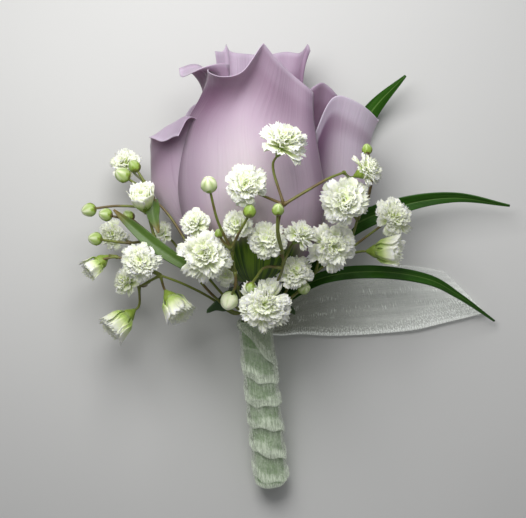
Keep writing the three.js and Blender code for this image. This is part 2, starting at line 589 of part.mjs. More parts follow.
function headGeometry(kind, radius, random) {
  const { petals, pit, rings } = HEADS[kind];
  const count = 2 * petals;
  const start = random() * Math.PI;
  const positions = [0, 0, 0];
  rings.forEach(({ gap, tip, lifted = false, staggered = false }) => {
    for (let k = 0; k < count; k += 1) {
      const isTip = (k % 2 === 1) !== staggered;
      const [out, up] = isTip ? tip : gap;
      const far = radius * out * (isTip ? 0.92 + 0.14 * random() : 1);
      const angle = start + (Math.PI * k) / petals;
      const height = radius * up + (lifted ? FLORET_SHEET : 0);
      positions.push(far * Math.cos(angle), far * Math.sin(angle), height);
    }
  });
  positions.push(0, 0, radius * pit);
  const last = rings.length * count + 1;
  const faces = [];
  for (let k = 0; k < count; k += 1) {
    const next = (k + 1) % count;
    faces.push(0, 1 + next, 1 + k);
    for (let j = 0; j < rings.length - 1; j += 1) {
      const [a, b] = [1 + j * count + k, 1 + j * count + next];
      faces.push(a, b, b + count, a, b + count, a + count);
    }
    faces.push(last - count + k, last - count + next, last);
  }
  const geometry = new THREE.BufferGeometry();
  geometry.setAttribute("position", new THREE.Float32BufferAttribute(positions, 3));
  geometry.setIndex(faces);
  return geometry;
}

function floret([name, spec], index) {
  const [kind, , , radius] = spec;
  const { way, foot } = floretFoot(spec);
  const head = solid(headGeometry(kind, radius, randomFrom(index + 3)));
  const mesh = piece(name, head, finish(COLOURS.floret, 0.7));
  mesh.position.copy(foot);
  mesh.quaternion.setFromUnitVectors(new THREE.Vector3(0, 0, 1), way);
  return mesh;
}

// Sprays: the stalk's angle in the handle, its stems as routes of points, buds as [middle, radius],
// the florets each one carries, and its small leaves. A stem that ends at a floret runs to the foot
// of its calyx.
const SPRAYS = {
  spray_middle: {
    angle: -18,
    stems: [
      [[-3.6, -11.4, 19.5], [-5.6, -6, 26.5], [-6, -2.6, 31], [-6.8, 2.1, 35.5]],
      [[-6.8, 2.1, 35.5], [-9.5, 8, 39.8], [-11, 14.2, 43.2]],
      [[-6.8, 2.1, 35.5], [-4.6, 6.2, 40.6], [-3, 9, 42.6]],
      [[-6, -2.6, 31], [-5.9, -5.6, 30.4], [-7, -8.2, 28]],
      [[-6.8, 2.1, 35.5], [-8.4, 3.6, 35.8], [-9.2, 5, 36.2]],
      [[-6, -2.6, 31], [-7, -0.6, 31.6], [-7.2, 0.4, 31.8]],
    ],
    buds: [[[-11.2, 15.4, 43.6], 1.85], [[-2.8, 9.9, 43], 1.45], [[-7.3, -9, 27.4], 2.1],
      [[-9.3, 5.4, 36.4], 1], [[-7.2, 0.8, 32], 1]],
    florets: { floret_left_large: [-6, -2.6, 31], floret_left_behind: [-6, -2.6, 31],
      floret_middle_pale: [-6.6, 1, 34.5], floret_front_left: [-5.4, -6.4, 26] },
    leaves: [],
  },
  spray_centre: {
    angle: 18,
    stems: [
      [[-0.3, -11.6, 18.6], [1.6, -7.4, 23.4], [3.3, -4.4, 28.4], [4.2, -1.9, 32.4], [4.1, 1.4, 36.2],
        [3.2, 6, 39.8], [3.4, 8.4, 41], [4.3, 11.3, 42]],
      [[4.1, 1.4, 36.2], [3, 5.2, 41], [3, 9.2, 43.6]],
      [[4.3, 11.3, 42], [9.3, 14.3, 42.2], [13.7, 16.8, 41.2], [17, 18.2, 38]],
      [[4.2, -1.9, 32.4], [0.4, -1.8, 32], [-1.6, -4.2, 30.6], [-2.5, -5.4, 30.4]],
    ],
    buds: [[[3.1, 10.2, 44.2], 1.35], [[-2.7, -6, 30.4], 1.2]],
    florets: { floret_top: [4.3, 11.3, 42], floret_upper_middle: [4.3, 11.3, 42],
      floret_right_side: [17, 18.2, 38], floret_middle: [4.1, 0.6, 35.2],
      floret_middle_side: [4.2, -1.2, 33.2], floret_front: [-0.3, -11.6, 18.6] },
    leaves: [],
  },
  spray_front: {
    angle: 54,
    stems: [
      [[1, -12.6, 17.4], [3.6, -10, 20]],
      [[3.6, -10, 20], [6.4, -8.2, 22.6], [8.6, -6.6, 25]],
    ],
    buds: [[[8.9, -6.3, 25.8], 1.5]],
    florets: { floret_lower_middle: [3.6, -10, 20] },
    leaves: [],
  },
  spray_right: {
    angle: 90,
    stems: [
      [[2, -12, 14.6], [6.6, -8.4, 17.4], [11.6, -3, 19.4], [17, 0.6, 20.4]],
      [[17, 0.6, 20.4], [19.5, 5, 23.6], [20.4, 8.6, 28]],
      [[20.4, 8.6, 28], [22.8, 13.6, 28.8], [23.4, 19, 30.4], [22.4, 22.6, 32.6]],
    ],
    buds: [[[22.2, 23.4, 33], 1.2]],
    florets: { floret_right_large: [11.6, -3, 19.4], floret_right_high: [20.4, 8.6, 28],
      floret_right_far: [17, 0.6, 20.4], floret_right_bell: [17, 0.6, 20.4] },
    leaves: [],
  },
  spray_upper_left: {
    angle: -54,
    stems: [
      [[-5.4, -11.2, 17.4], [-9.6, -7, 21.4], [-13.8, -1.6, 23.6], [-17.9, 5.5, 22.6], [-21, 10, 21],
        [-24.3, 13.4, 19.6]],
      [[-24.3, 13.4, 19.6], [-27.2, 15.9, 18.4], [-30.2, 18, 18.6]],
      [[-24.3, 13.4, 19.6], [-26.4, 17.2, 17.6], [-28.2, 20, 17]],
    ],
    buds: [[[-31.1, 18.6, 18.8], 1.8], [[-28.6, 20.6, 17], 1.45]],
    florets: { floret_left_top: [-26.4, 17.2, 17.6], floret_left_bell: [-24.3, 13.4, 19.6] },
    leaves: [{ spine: [[-24.2, 13.3, 19.8], [-24.2, 9.8, 20.8], [-23, 5.8, 21.2]], width: 2.6, fold: 0.3 }],
  },
  spray_left: {
    angle: -90,
    stems: [
      [[-6.6, -11.8, 14.2], [-11.6, -7.6, 18], [-16.3, -2, 20.4], [-20, 1.6, 20], [-24, 4.6, 19.2],
        [-27, 6.9, 18.8], [-31, 8.9, 18.6], [-33.8, 9.6, 18.8]],
      [[-24, 4.6, 19.2], [-25, 8, 17.8], [-25.9, 10.9, 17.4], [-32, 11.8, 17.4], [-37.6, 11.2, 18]],
      [[-24, 4.6, 19.2], [-27.4, 7.4, 16.6], [-29.4, 9, 15.2]],
      [[-24, 4.6, 19.2], [-29.6, 3.6, 15.4], [-34, 4, 16], [-36.4, 4.4, 16.8]],
    ],
    buds: [[[-34.8, 9.8, 19], 1.55], [[-38.6, 10.9, 18], 1.65], [[-30, 9.6, 15], 1.35],
      [[-37.3, 4.5, 17], 1.6]],
    florets: { floret_left_low: [-29.6, 3.6, 15.4], floret_left_small: [-16.3, -2, 20.4] },
    leaves: [{ spine: [[-16, -2.2, 21], [-24, 3.2, 20.6], [-29.5, 7.8, 19.6], [-33, 10.9, 20]], width: 3.4,
      fold: 0.35 }],
  },
  spray_lower_left: {
    angle: -126,
    stems: [
      [[-6.6, -12.4, 10.4], [-12, -8.6, 13.6], [-18, -5.4, 18], [-22.7, -3.6, 19.6]],
      [[-22.7, -3.6, 19.6], [-28, -1.4, 17.4], [-32.5, 0.4, 17.2], [-36.2, -0.2, 17.2]],
      [[-22.7, -3.6, 19.6], [-25.4, -5, 18], [-27.6, -6.2, 16.6]],
    ],
    buds: [],
    florets: { floret_left_middle: [-22.7, -3.6, 19.6], floret_half_open: [-32.5, 0.4, 17.2],
      floret_near_bell: [-22.7, -3.6, 19.6], floret_left_under: [-25.4, -5, 18],
      floret_low_bell: [-27.6, -6.2, 16.6] },
    leaves: [],
  },
};

// The green calyx that holds a floret, a short cup that stops a gap short of the petals
function calyx(spec) {
  const { way, foot } = floretFoot(spec);
  const cup = new THREE.CylinderGeometry(CALYX_RIM_RADIUS, CALYX_FOOT_RADIUS, CALYX_LENGTH, 6);
  const middle = foot.clone().addScaledVector(way, -(GAP + CALYX_LENGTH / 2));
  const heel = foot.clone().addScaledVector(way, -(GAP + CALYX_LENGTH * 0.8));
  return { cup: solid(along(cup, middle, way)), heel, way };
}

function spray([name, { angle, stems, buds, florets, leaves }]) {
  const bound = boundStalk(angle);
  const shapes = [bound.shape];
  stems.forEach((stem, k) => {
    const points = stem.map(vector);
    shapes.push(solid(rod(k === 0 ? [...bound.entry, ...points] : points, STEM_RADIUS)));
  });
  buds.forEach(([middle, radius]) => {
    shapes.push(solid(new THREE.SphereGeometry(radius, 6, 4).rotateX(Math.PI / 2).translate(...middle)));
  });
  Object.entries(florets).forEach(([which, from]) => {
    const { cup, heel, way } = calyx(FLORETS[which]);
    const start = vector(from);
    const bend = heel.clone().addScaledVector(way, -Math.min(3, STEM_SAG * heel.distanceTo(start)));
    shapes.push(cup, solid(rod([start, bend, heel], STEM_RADIUS)));
  });
  leaves.forEach(({ spine, width, fold }) => {
    shapes.push(leafBlade(spine, width, fold, [0, 0]));
  });
  return piece(name, fuse(shapes), finish(COLOURS.spray, 0.6));
}

const boutonniere = new THREE.Group();
boutonniere.add(
  roseBloom(),
  roseCalyx(),
  floralTape(),
  ribbonWrap(),
  ribbonTail(),
  ...LEAVES.map(leaf),
  ...Object.entries(SPRAYS).map(spray),
  ...Object.entries(FLORETS).map(floret),
);
boutonniere.position.copy(OUTLINE_MIDDLE).negate();

export default boutonniere;
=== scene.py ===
"""Boutonniere on a table: a lavender rose bud, double gypsophila, narrow leaves and a sheer ribbon.

Shapes are worked out in millimetres in the layout frame: its origin is on the table below the
camera's aim. A finished mesh is in metres, from the middle of the outline, as the frame is.
"""

import bpy
import numpy as np
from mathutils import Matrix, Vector
from numpy import cos, exp, linspace, pi, radians, sin


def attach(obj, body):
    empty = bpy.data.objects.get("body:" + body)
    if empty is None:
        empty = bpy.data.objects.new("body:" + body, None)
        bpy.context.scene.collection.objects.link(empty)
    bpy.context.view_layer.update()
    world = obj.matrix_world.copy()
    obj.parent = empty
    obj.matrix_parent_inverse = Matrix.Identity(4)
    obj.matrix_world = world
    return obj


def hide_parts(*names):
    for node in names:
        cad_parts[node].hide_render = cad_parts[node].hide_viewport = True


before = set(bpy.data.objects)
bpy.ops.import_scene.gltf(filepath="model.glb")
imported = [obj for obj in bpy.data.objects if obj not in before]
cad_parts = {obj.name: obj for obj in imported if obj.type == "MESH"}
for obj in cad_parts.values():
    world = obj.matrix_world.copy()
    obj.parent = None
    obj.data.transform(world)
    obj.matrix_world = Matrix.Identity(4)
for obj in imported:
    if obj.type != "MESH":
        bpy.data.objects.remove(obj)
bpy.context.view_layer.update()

# Driving dimensions, in millimetres and degrees
METRE = 1000.0
OUTLINE_MIDDLE = np.array([8.03, -2.57, 0.0])
GAP = 0.3
ABOVE_TABLE = 0.02

ROSE_BASE = np.array([-1.6, -5.4, 14.5])
ROSE_TILT_UP = 6.0
ROSE_TURN_RIGHT = 1.7
ROOT_RADIUS = 3.3
CUP_ANGLE = 82.0
SWELL = 1.02
CLOSING = 1.3
CUSP_WIDTH = 0.08
PETAL_THICKNESS = 0.34
HEART_FOOT = 14.0
HEART_TOP = 41.5
HEART_TURNS = 2.7
HEART_THICKNESS = 0.2
HIP_FOOT = -5.0
SEPAL_WIDTH = 3.0
SEPAL_START = 2.6
SEPAL_ROOT = -1.2

HANDLE_TOP = np.array([-1.9, -13.7, 12.5])
HANDLE_END = np.array([1.95, -50.8, 3.7])
ROSE_STEM_RADIUS = 1.3
ROSE_STEM_CUT = 1.0
STALK_RING = 2.05
STALK_RADIUS = 0.42
STALK_CUT = 1.2
STALK_TIP = -0.8
STALK_FREE = -1.5
TAPE_RADIUS = 3.25
TAPE_WALL = 0.45
TAPE_LAP = 0.16
TAPE_LAP_PITCH = 5.2
TAPE_PATTERN_LENGTH = 22.6
TAPE_ENDS = {"hip": 0.1, "cut": 0.3}
WRAP_RADIUS = 3.85
WRAP_STEP = 0.3
WRAP_PITCH = 6.0
WRAP_START = -1.5
WRAP_MORE_TURNS = 0.4
WRAP_GATHERED_WIDTH = 13.4
WRAP_FIRST_EDGE = 13.3
WRAP_FOLD = {"start": 0.8, "pace": 2.6, "most": 1.45, "on": 2.3, "in": 2.9}
RIBBON_WIDTH = 15.5
RIBBON_THICKNESS = 0.06
TAIL_LENGTH = 54.0

STEM_RADIUS = 0.34
STEM_SAG = {"share": 0.25, "most": 3.0}
BUD_LIFT = np.array([0, 0, 0.8])
CALYX_LENGTH = 1.9
LEAF_THICKNESS = 0.4
BRACT_THICKNESS = 0.25
FLORET_THICKNESS = 0.07
GOLDEN_ANGLE = pi * (3 - np.sqrt(5))

# The camera looks straight down from this height above the table, over the layout's origin
CAMERA_HEIGHT = 400.0
SENSOR_WIDTH = 36.0
PICTURE_WIDTH = 526
TABLE_MM_PER_PIXEL = 0.2325

# Lamps in metres and watts, and the light that comes from all round
LAMPS = {
    "window": dict(place=(-0.038, 0.092, 0.145), size=0.11, power=0.26, colour=(1.0, 0.995, 0.98)),
    "fill": dict(place=(0.06, 0.15, 0.15), size=0.2, power=0.08, colour=(0.97, 0.98, 1.0)),
}
ROOM_COLOUR = (0.86, 0.87, 0.89, 1)
ROOM_STRENGTH = 0.21
TABLE_SIZE = 3.0


# Shader building

class Wire:
    """One output of a node; arithmetic on it adds Math nodes."""

    def __init__(self, finish, socket):
        self.finish = finish
        self.socket = socket

    def math(self, operation, first, second=0.0):
        return self.finish.node("Math", {"operation": operation}, {0: first, 1: second})

    def __add__(self, other):
        return self.math("ADD", self, other)

    def __sub__(self, other):
        return self.math("SUBTRACT", self, other)

    def __rsub__(self, other):
        return self.math("SUBTRACT", other, self)

    def __mul__(self, other):
        return self.math("MULTIPLY", self, other)

    __radd__, __rmul__ = __add__, __mul__

    def __abs__(self):
        return self.math("ABSOLUTE", self)

    def wave(self):
        """1 at whole values and 0 halfway between them."""
        return self.math("COSINE", self * (2 * pi)) * 0.5 + 0.5

    def spread(self, low, high, start=0.0, end=1.0):
        """The value from low to high as a smooth step from start to end."""
        settings = {"interpolation_type": "SMOOTHSTEP"}
        return self.finish.node("MapRange", settings, {0: self, 1: low, 2: high, 3: start, 4: end})


class Finish:
    """A material under construction."""

    def __init__(self, name):
        self.material = bpy.data.materials.new(name)
        self.material.use_nodes = True
        self.tree = self.material.node_tree
        self.tree.nodes.clear()

    def node(self, kind, settings=None, inputs=None, output=0):
        """Adds a node: its settings first, then the values or links of its sockets."""
        made = self.tree.nodes.new("ShaderNode" + kind)
        for key, value in (settings or {}).items():
            setattr(made, key, value)
        for key, value in (inputs or {}).items():
            if isinstance(value, Wire):
                self.tree.links.new(value.socket, made.inputs[key])
            else:
                made.inputs[key].default_value = value
        return Wire(self, made.outputs[output]) if made.outputs else None

    def place(self):
        return self.node("TexCoord", output=3)

    def across_and_along(self):
        """The piece's UV map as two numbers."""
        split = self.node("SeparateXYZ", inputs={0: self.node("TexCoord", output=2)})
        return split, Wire(self, split.socket.node.outputs[1])

    def value(self, name):
        return self.node("Attribute", {"attribute_name": name}, output=2)

    def noise(self, where, scale, detail=2.0, roughness=0.5):
        inputs = {"Vector": where, "Scale": scale, "Detail": detail, "Roughness": roughness}
        return self.node("TexNoise", inputs=inputs)

    def grain(self, x, y, z=0.0, detail=2.0, roughness=0.5):
        """Noise over numbers of the pattern's own, so that it can run along the piece."""
        return self.noise(self.node("CombineXYZ", inputs={0: x, 1: y, 2: z}), 1.0, detail, roughness)

    def blend(self, factor, first, second):
        return self.node("Mix", {"data_type": "RGBA"}, {0: factor, 6: first, 7: second}, output=2)

    def coats(self, colour, *coats):
        """The colour under coats laid over it in turn, each as how much it covers and its colour."""
        for cover, tint in coats:
            colour = self.blend(cover, colour, tint)
        return colour

    def bump(self, height, distance, strength):
        inputs = {"Height": height, "Distance": distance, "Strength": strength}
        return self.node("Bump", inputs=inputs)

    def close(self, **inputs):
        """Ends the material with a Principled shader; underscores in the names stand for spaces."""
        named = {key.replace("_", " "): value for key, value in inputs.items()}
        shader = self.node("BsdfPrincipled", inputs=named)
        self.node("OutputMaterial", inputs={"Surface": shader})
        return self.material


def rgb(red, green, blue):
    """A colour given as it looks on a screen, from 0 to 255, as linear light."""
    share = np.array([red, green, blue]) / 255
    linear = np.where(share <= 0.04045, share / 12.92, ((share + 0.055) / 1.055) ** 2.4)
    return (*linear.tolist(), 1.0)


# Mesh building

def smooth(value, low, high):
    t = np.clip((value - low) / (high - low), 0, 1)
    return t * t * (3 - 2 * t)


def unit(vectors):
    return vectors / np.maximum(np.linalg.norm(vectors, axis=-1, keepdims=True), 1e-9)


def ring_angles(sides):
    return linspace(0, 2 * pi, sides, endpoint=False)[None, :]


def sheet_grid(columns, rows):
    """u from -1 to 1 over a sheet's columns and v from 0 to 1 over its rows."""
    return linspace(-1, 1, columns + 1)[None, :], linspace(0, 1, rows + 1)[:, None]


def pairs(u, v):
    """A UV map from its two numbers, each of which may change over rows or columns alone."""
    return np.stack(np.broadcast_arrays(u, v), -1)


def grid_quads(rows, columns, wrapped=False, closed=False):
    """Corners of the cells of a grid of points; wrapped joins the last column to the first, and closed
    the last row to the first."""
    index = np.arange(rows * columns).reshape(rows, columns)
    index = np.pad(index, ((0, int(closed)), (0, int(wrapped))), mode="wrap")
    return np.stack([index[:-1, :-1], index[:-1, 1:], index[1:, 1:], index[1:, :-1]], -1).reshape(-1, 4)


class Skin:
    """Points, faces, UV and named values that become one mesh."""

    def __init__(self):
        self.parts, self.faces, self.count = [], [], 0

    def add(self, points, faces, uv, **values):
        """points is (n, 3), faces a list of corner arrays, each value a number or an array of n. A
        value that is left out is 0."""
        self.faces += [group + self.count for group in faces]
        self.parts.append((points, uv, values))
        self.count += len(points)

    def mesh(self, name, finish, node, slot):
        """Makes the object, which stands for the CAD node and takes the finish. slot is not used."""
        points = (np.concatenate([part[0] for part in self.parts]) - OUTLINE_MIDDLE) / METRE
        corners = np.concatenate([group.ravel() for group in self.faces]).astype(np.int32)
        sizes = np.concatenate([np.full(len(group), group.shape[1]) for group in self.faces])
        starts = np.concatenate([[0], np.cumsum(sizes)[:-1]]).astype(np.int32)
        mesh = bpy.data.meshes.new(name)
        mesh.vertices.add(len(points))
        mesh.vertices.foreach_set("co", points.astype(np.float32).ravel())
        mesh.loops.add(len(corners))
        mesh.loops.foreach_set("vertex_index", corners)
        mesh.polygons.add(len(starts))
        mesh.polygons.foreach_set("loop_start", starts)
        mesh.update(calc_edges=True)
        mesh.shade_smooth()
        uv = np.concatenate([part[1] for part in self.parts])[corners].astype(np.float32)
        mesh.uv_layers.new(name="UVMap").data.foreach_set("uv", uv.ravel())
        for key in sorted({key for part in self.parts for key in part[2]}):
            numbers = [np.broadcast_to(part[2].get(key, 0), len(part[0])) for part in self.parts]
            numbers = np.concatenate(numbers).astype(np.float32)
            mesh.attributes.new(key, "FLOAT", "POINT").data.foreach_set("value", numbers)
        mesh.materials.append(finish)
        piece = bpy.data.objects.new(name, mesh)
        bpy.context.scene.collection.objects.link(piece)
        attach(piece, "root")
        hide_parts(node)
        return piece


def blade(skin, face, uv, thickness, **values):
    """Adds thin closed blades to a skin. face is (..., rows, columns, 3), the outer side; the inner
    side lies a thickness behind it along the surface's normal, and the rims are closed. A value is a
    number, one number a blade, or a grid of them; the value inner is 1 on the inner side."""
    rows, columns = face.shape[-3:-1]
    face = face.reshape(-1, rows, columns, 3)
    normal = unit(np.cross(np.gradient(face, axis=2), np.gradient(face, axis=1)))
    back = face - normal * np.broadcast_to(thickness, face.shape[:3])[..., None]
    cells = grid_quads(rows, columns)
    half = rows * columns
    index = np.arange(half).reshape(rows, columns)
    rim = np.concatenate([index[0, :-1], index[:-1, -1], index[-1, :0:-1], index[:0:-1, 0]])
    ahead = np.roll(rim, -1)
    walls = np.stack([rim, rim + half, ahead + half, ahead], -1)
    quads = np.concatenate([cells, cells[:, ::-1] + half, walls])
    sides = (len(face), 2, rows, columns)
    offsets = np.arange(len(face))[:, None, None] * 2 * half
    points = np.stack([face, back], 1).reshape(-1, 3)
    values["inner"] = np.arange(2.0)[:, None, None]
    for key, value in values.items():
        value = np.asarray(value, float)
        if value.ndim == 1:
            value = value[:, None, None, None]
        values[key] = np.broadcast_to(value, sides).ravel()
    uv = np.broadcast_to(uv, (*sides, 2)).reshape(-1, 2)
    skin.add(points, [(quads[None] + offsets).reshape(-1, 4)], uv, **values)


def along(points, share):
    """Points of a centripetal Catmull-Rom curve, where share runs evenly over its spans."""
    p = np.asarray(points, float)
    p = np.vstack([2 * p[0] - p[1], p, 2 * p[-1] - p[-2]])
    step = np.sqrt(np.linalg.norm(np.diff(p, axis=0), axis=1))[:, None]
    a, b, c = step[:-2], step[1:-1], step[2:]
    before, start, end, after = p[:-3], p[1:-2], p[2:-1], p[3:]
    lead = b * ((start - before) / a - (end - before) / (a + b) + (end - start) / b)
    trail = b * ((end - start) / b - (after - start) / (b + c) + (after - end) / c)
    spans = len(start)
    place = np.clip(share, 0, 1) * spans
    i = np.minimum(place.astype(int), spans - 1)
    t = (place - i)[..., None]
    return (start[i] + t * lead[i] + t ** 2 * (3 * (end - start) - 2 * lead - trail)[i]
            + t ** 3 * (2 * (start - end) + lead + trail)[i])


def curve(points, step=0.9):
    """A smooth path through the points, with a point about every step."""
    points = np.asarray(points, float)
    if len(points) == 2:
        return linspace(points[0], points[1], 3)
    length = np.linalg.norm(np.diff(points, axis=0), axis=1).sum()
    return along(points, linspace(0, 1, max(4, int(length / step)) + 1))


def stack_rings(skin, points, **values):
    """Adds a closed body through rings of points, (rings, sides, 3), with a cap at each end. A value is
    a number or a grid of them."""
    rings, sides = points.shape[:2]
    uv = pairs(ring_angles(sides) / (2 * pi), linspace(0, 1, rings)[:, None])
    cap = np.arange(sides)[None]
    faces = [grid_quads(rings, sides, wrapped=True), cap[:, ::-1], cap + (rings - 1) * sides]
    values = {key: np.broadcast_to(value, (rings, sides)).ravel() for key, value in values.items()}
    skin.add(points.reshape(-1, 3), faces, uv.reshape(-1, 2), **values)


def tube(skin, path, radius, sides=8):
    """Adds a closed round tube: rings of the radius square to the path, turned from the world axis
    that lies least along it."""
    way = unit(np.gradient(path, axis=0))
    axis = np.eye(3)[np.abs(way).max(0).argmin()]
    side = unit(np.cross(way, axis))
    up = np.cross(side, way)
    angle = ring_angles(sides)[..., None]
    ring = cos(angle) * side[:, None] - sin(angle) * up[:, None]
    stack_rings(skin, path[:, None] + ring * np.broadcast_to(radius, len(path))[:, None, None])


def frame_at(way):
    """Two directions square to a unit vector and to each other."""
    axis = np.eye(3)[np.abs(way).argmin()]
    side = unit(np.cross(axis, way))
    return side, np.cross(way, side)


def turned(skin, foot, way, height, radius, **values):
    """Adds a closed body of rings along a direction: height is (rings,) and radius (rings, sides)."""
    side, up = frame_at(way)
    angle = ring_angles(radius.shape[1])[..., None]
    out = cos(angle) * side + sin(angle) * up
    stack_rings(skin, foot + height[:, None, None] * way + radius[..., None] * out, **values)


# Rose

TILT, TURN = radians([ROSE_TILT_UP, ROSE_TURN_RIGHT])
ROSE_AXIS = np.array([cos(TILT) * sin(TURN), cos(TILT) * cos(TURN), sin(TILT)])
ROSE_RIGHT = np.array([cos(TURN), -sin(TURN), 0.0])
ROSE_UP = np.cross(ROSE_RIGHT, ROSE_AXIS)


def rose_point(forward, radius, azimuth):
    """A point this far along the rose's axis and from it; azimuth 0 is its upper side, + its right."""
    azimuth = np.asarray(azimuth, float)[..., None]
    out = cos(azimuth) * ROSE_UP + sin(azimuth) * ROSE_RIGHT
    return ROSE_BASE + np.asarray(forward)[..., None] * ROSE_AXIS + np.asarray(radius)[..., None] * out


# Knots across a petal or along it are {place: value}, from -1 to 1 across and from 0 to 1 along
DOME = {-1: -7, -0.5: -1.6, 0: 0, 0.5: -1.6, 1: -7}
# For each petal the azimuth of its middle and its half width, the radius of its belly and its length,
# and then what sets its form and colour apart
PETALS = {
    "lowest": [(180, 62, 19.7, 48), dict(bend=50, narrow=0.2, close=9, tone=0.3)],
    "right_outer": [(86, 54, 15.6, 48), dict(
        bulge=8.2, peak=0.12, spread=0.48, cusp=2, at=0.14, narrow=0.04, grid=(64, 60),
        rim={-1: -15, -0.75: -8, -0.52: -1, -0.3: -1.4, 0.12: -7, 0.5: -8, 1: -10},
        bend={-1: 0, -0.7: 0, -0.4: 15, 0.1: 32, 1: 30}, tone=-0.1, lip=1)],
    "left_outer": [(-102, 48, 15.6, 46), dict(
        bulge=8.4, peak=0.14, spread=0.45, rise=(0.2, 0.78), cusp=0.5, at=0.4, narrow=0.04, start=0.82,
        end=0.94, tone=0.15, grid=(64, 80),
        rim={-1: -15, -0.4: -13, 0: -12, 0.25: -11, 0.38: -9.6, 0.5: -6, 0.65: -0.6, 0.85: 2.2, 1: 2},
        bend={-1: 10, 0: 0, 0.25: 10, 0.38: 50, 0.5: 110, 0.65: 150, 0.85: 155, 1: 150},
        late={-1: 0, 0.2: 0.08, 0.38: 0.08, 0.5: 0.05, 0.7: 0, 1: 0})],
    "front": [(-7.5, 60, 21.8, 58.7), dict(
        turn=9.5, narrow=0.16, close=24, cusp=1.6, at=0.02, start=0.8, end=1.04, floor=1, grid=(72, 72),
        rim={-1: -4.6, -0.8: -3.6, -0.5: -3.2, -0.25: -2.8, 0.02: 0, 0.3: -2.6, 0.6: -5.4, 1: -9},
        bend={-1: 20, -0.8: 70, -0.5: 95, -0.25: 80, -0.02: 30, 0.3: 10, 1: 12},
        left={0: 0, 0.35: -4, 0.5: -7, 0.62: -11, 0.76: -18.5, 0.88: -5, 0.95: 2, 1: 6},
        right={0: 0, 0.5: 0, 0.7: -6, 0.85: -9, 1: -10.5})],
    "right_shoulder": [(70, 36, 15.8, 51), dict(
        narrow=0.1, close=8, cusp=0.4, floor=1, tone=0.75, bulge=3.6, peak=0.9, spread=0.7,
        rise=(0.3, 0.8), rim={-1: -3, -0.75: -1.4, -0.5: -0.8, -0.25: -2, 0: -4, 0.5: -6, 1: -8},
        bend={-1: 0, 0: 14, 1: 10})],
    "right_under": [(134, 48, 15.2, 46), dict(bend=40, close=9, floor=1, tone=0.4)],
    "left_under": [(-134, 50, 15.2, 45), dict(bend=46, close=9, floor=1, tone=0.4)],
    "upper_left": [(-68, 42, 14.4, 57), dict(
        close=12, cusp=1.6, at=-0.26, floor=2, start=0.84, end=0.975, tone=0.25, grid=(48, 72),
        rim={-1: -6, -0.4: -1.2, 0: 0, 0.4: 0, 1: -4},
        bend={-1: 30, -0.5: 80, -0.2: 115, 0.1: 125, 0.5: 105, 0.8: 60, 1: 10})],
    "back_left": [(-150, 44, 14.4, 57), dict(
        bend=26, close=11, cusp=1.8, at=0.5, floor=2, tone=0.2,
        rim={-1: -2.4, -0.5: -1.4, 0.3: -1, 0.5: -0.9, 0.7: -1, 1: -0.8},
        right={0: 0, 0.6: 0, 0.9: -18, 1: -20})],
    "back_right": [(160, 36, 13.6, 57.5), dict(
        close=12, cusp=2, at=-0.92, floor=2, tone=1.2,
        rim={-1: -1.5, -0.9: -0.8, -0.6: -1.6, -0.2: -1.4, 0.3: -2, 1: -4},
        bend={-1: 36, -0.7: 26, -0.4: 20, 0.4: 10, 1: 6})],
    "inner_right": [(32, 46, 13.2, 46), dict(bend=4, close=11, floor=2, tone=0.5)],
    "inner_side": [(98, 46, 12.6, 44), dict(bend=6, close=11, floor=4, tone=0.5)],
    "inner_front": [(-24, 48, 12.4, 47), dict(bend=4, close=12, floor=4, tone=0.6)],
    "inner_left": [(-104, 46, 11.8, 48), dict(bend=4, close=11, floor=4, tone=0.6)],
    "inner_back": [(176, 48, 11.4, 48), dict(bend=4, close=10, floor=4, tone=0.6)],
    "heart_right": [(50, 58, 10, 46), dict(bend=-6, cusp=0.6, close=10, floor=4, tone=0.8)],
    "heart_left": [(-72, 58, 9.4, 45), dict(bend=-12, cusp=0.6, close=10, floor=4, tone=0.8)],
}


def between(knots, u):
    """A smooth curve through the knots: cubic pieces whose slopes are those of the chord over two. A
    plain number stays as it is."""
    if not isinstance(knots, dict):
        return knots
    place, value = np.array(list(knots.items()), float).T
    last = len(place) - 1
    low, high = np.maximum(np.arange(last + 1) - 1, 0), np.minimum(np.arange(last + 1) + 1, last)
    slope = (value[high] - value[low]) / (place[high] - place[low])
    i = np.clip(np.searchsorted(place, u) - 1, 0, last - 1)
    wide = place[i + 1] - place[i]
    t = np.clip((u - place[i]) / wide, 0, 1)
    return (value[i] * (1 + 2 * t) * (1 - t) ** 2 + wide * slope[i] * t * (1 - t) ** 2
            + value[i + 1] * t * t * (3 - 2 * t) + wide * slope[i + 1] * t * t * (t - 1))


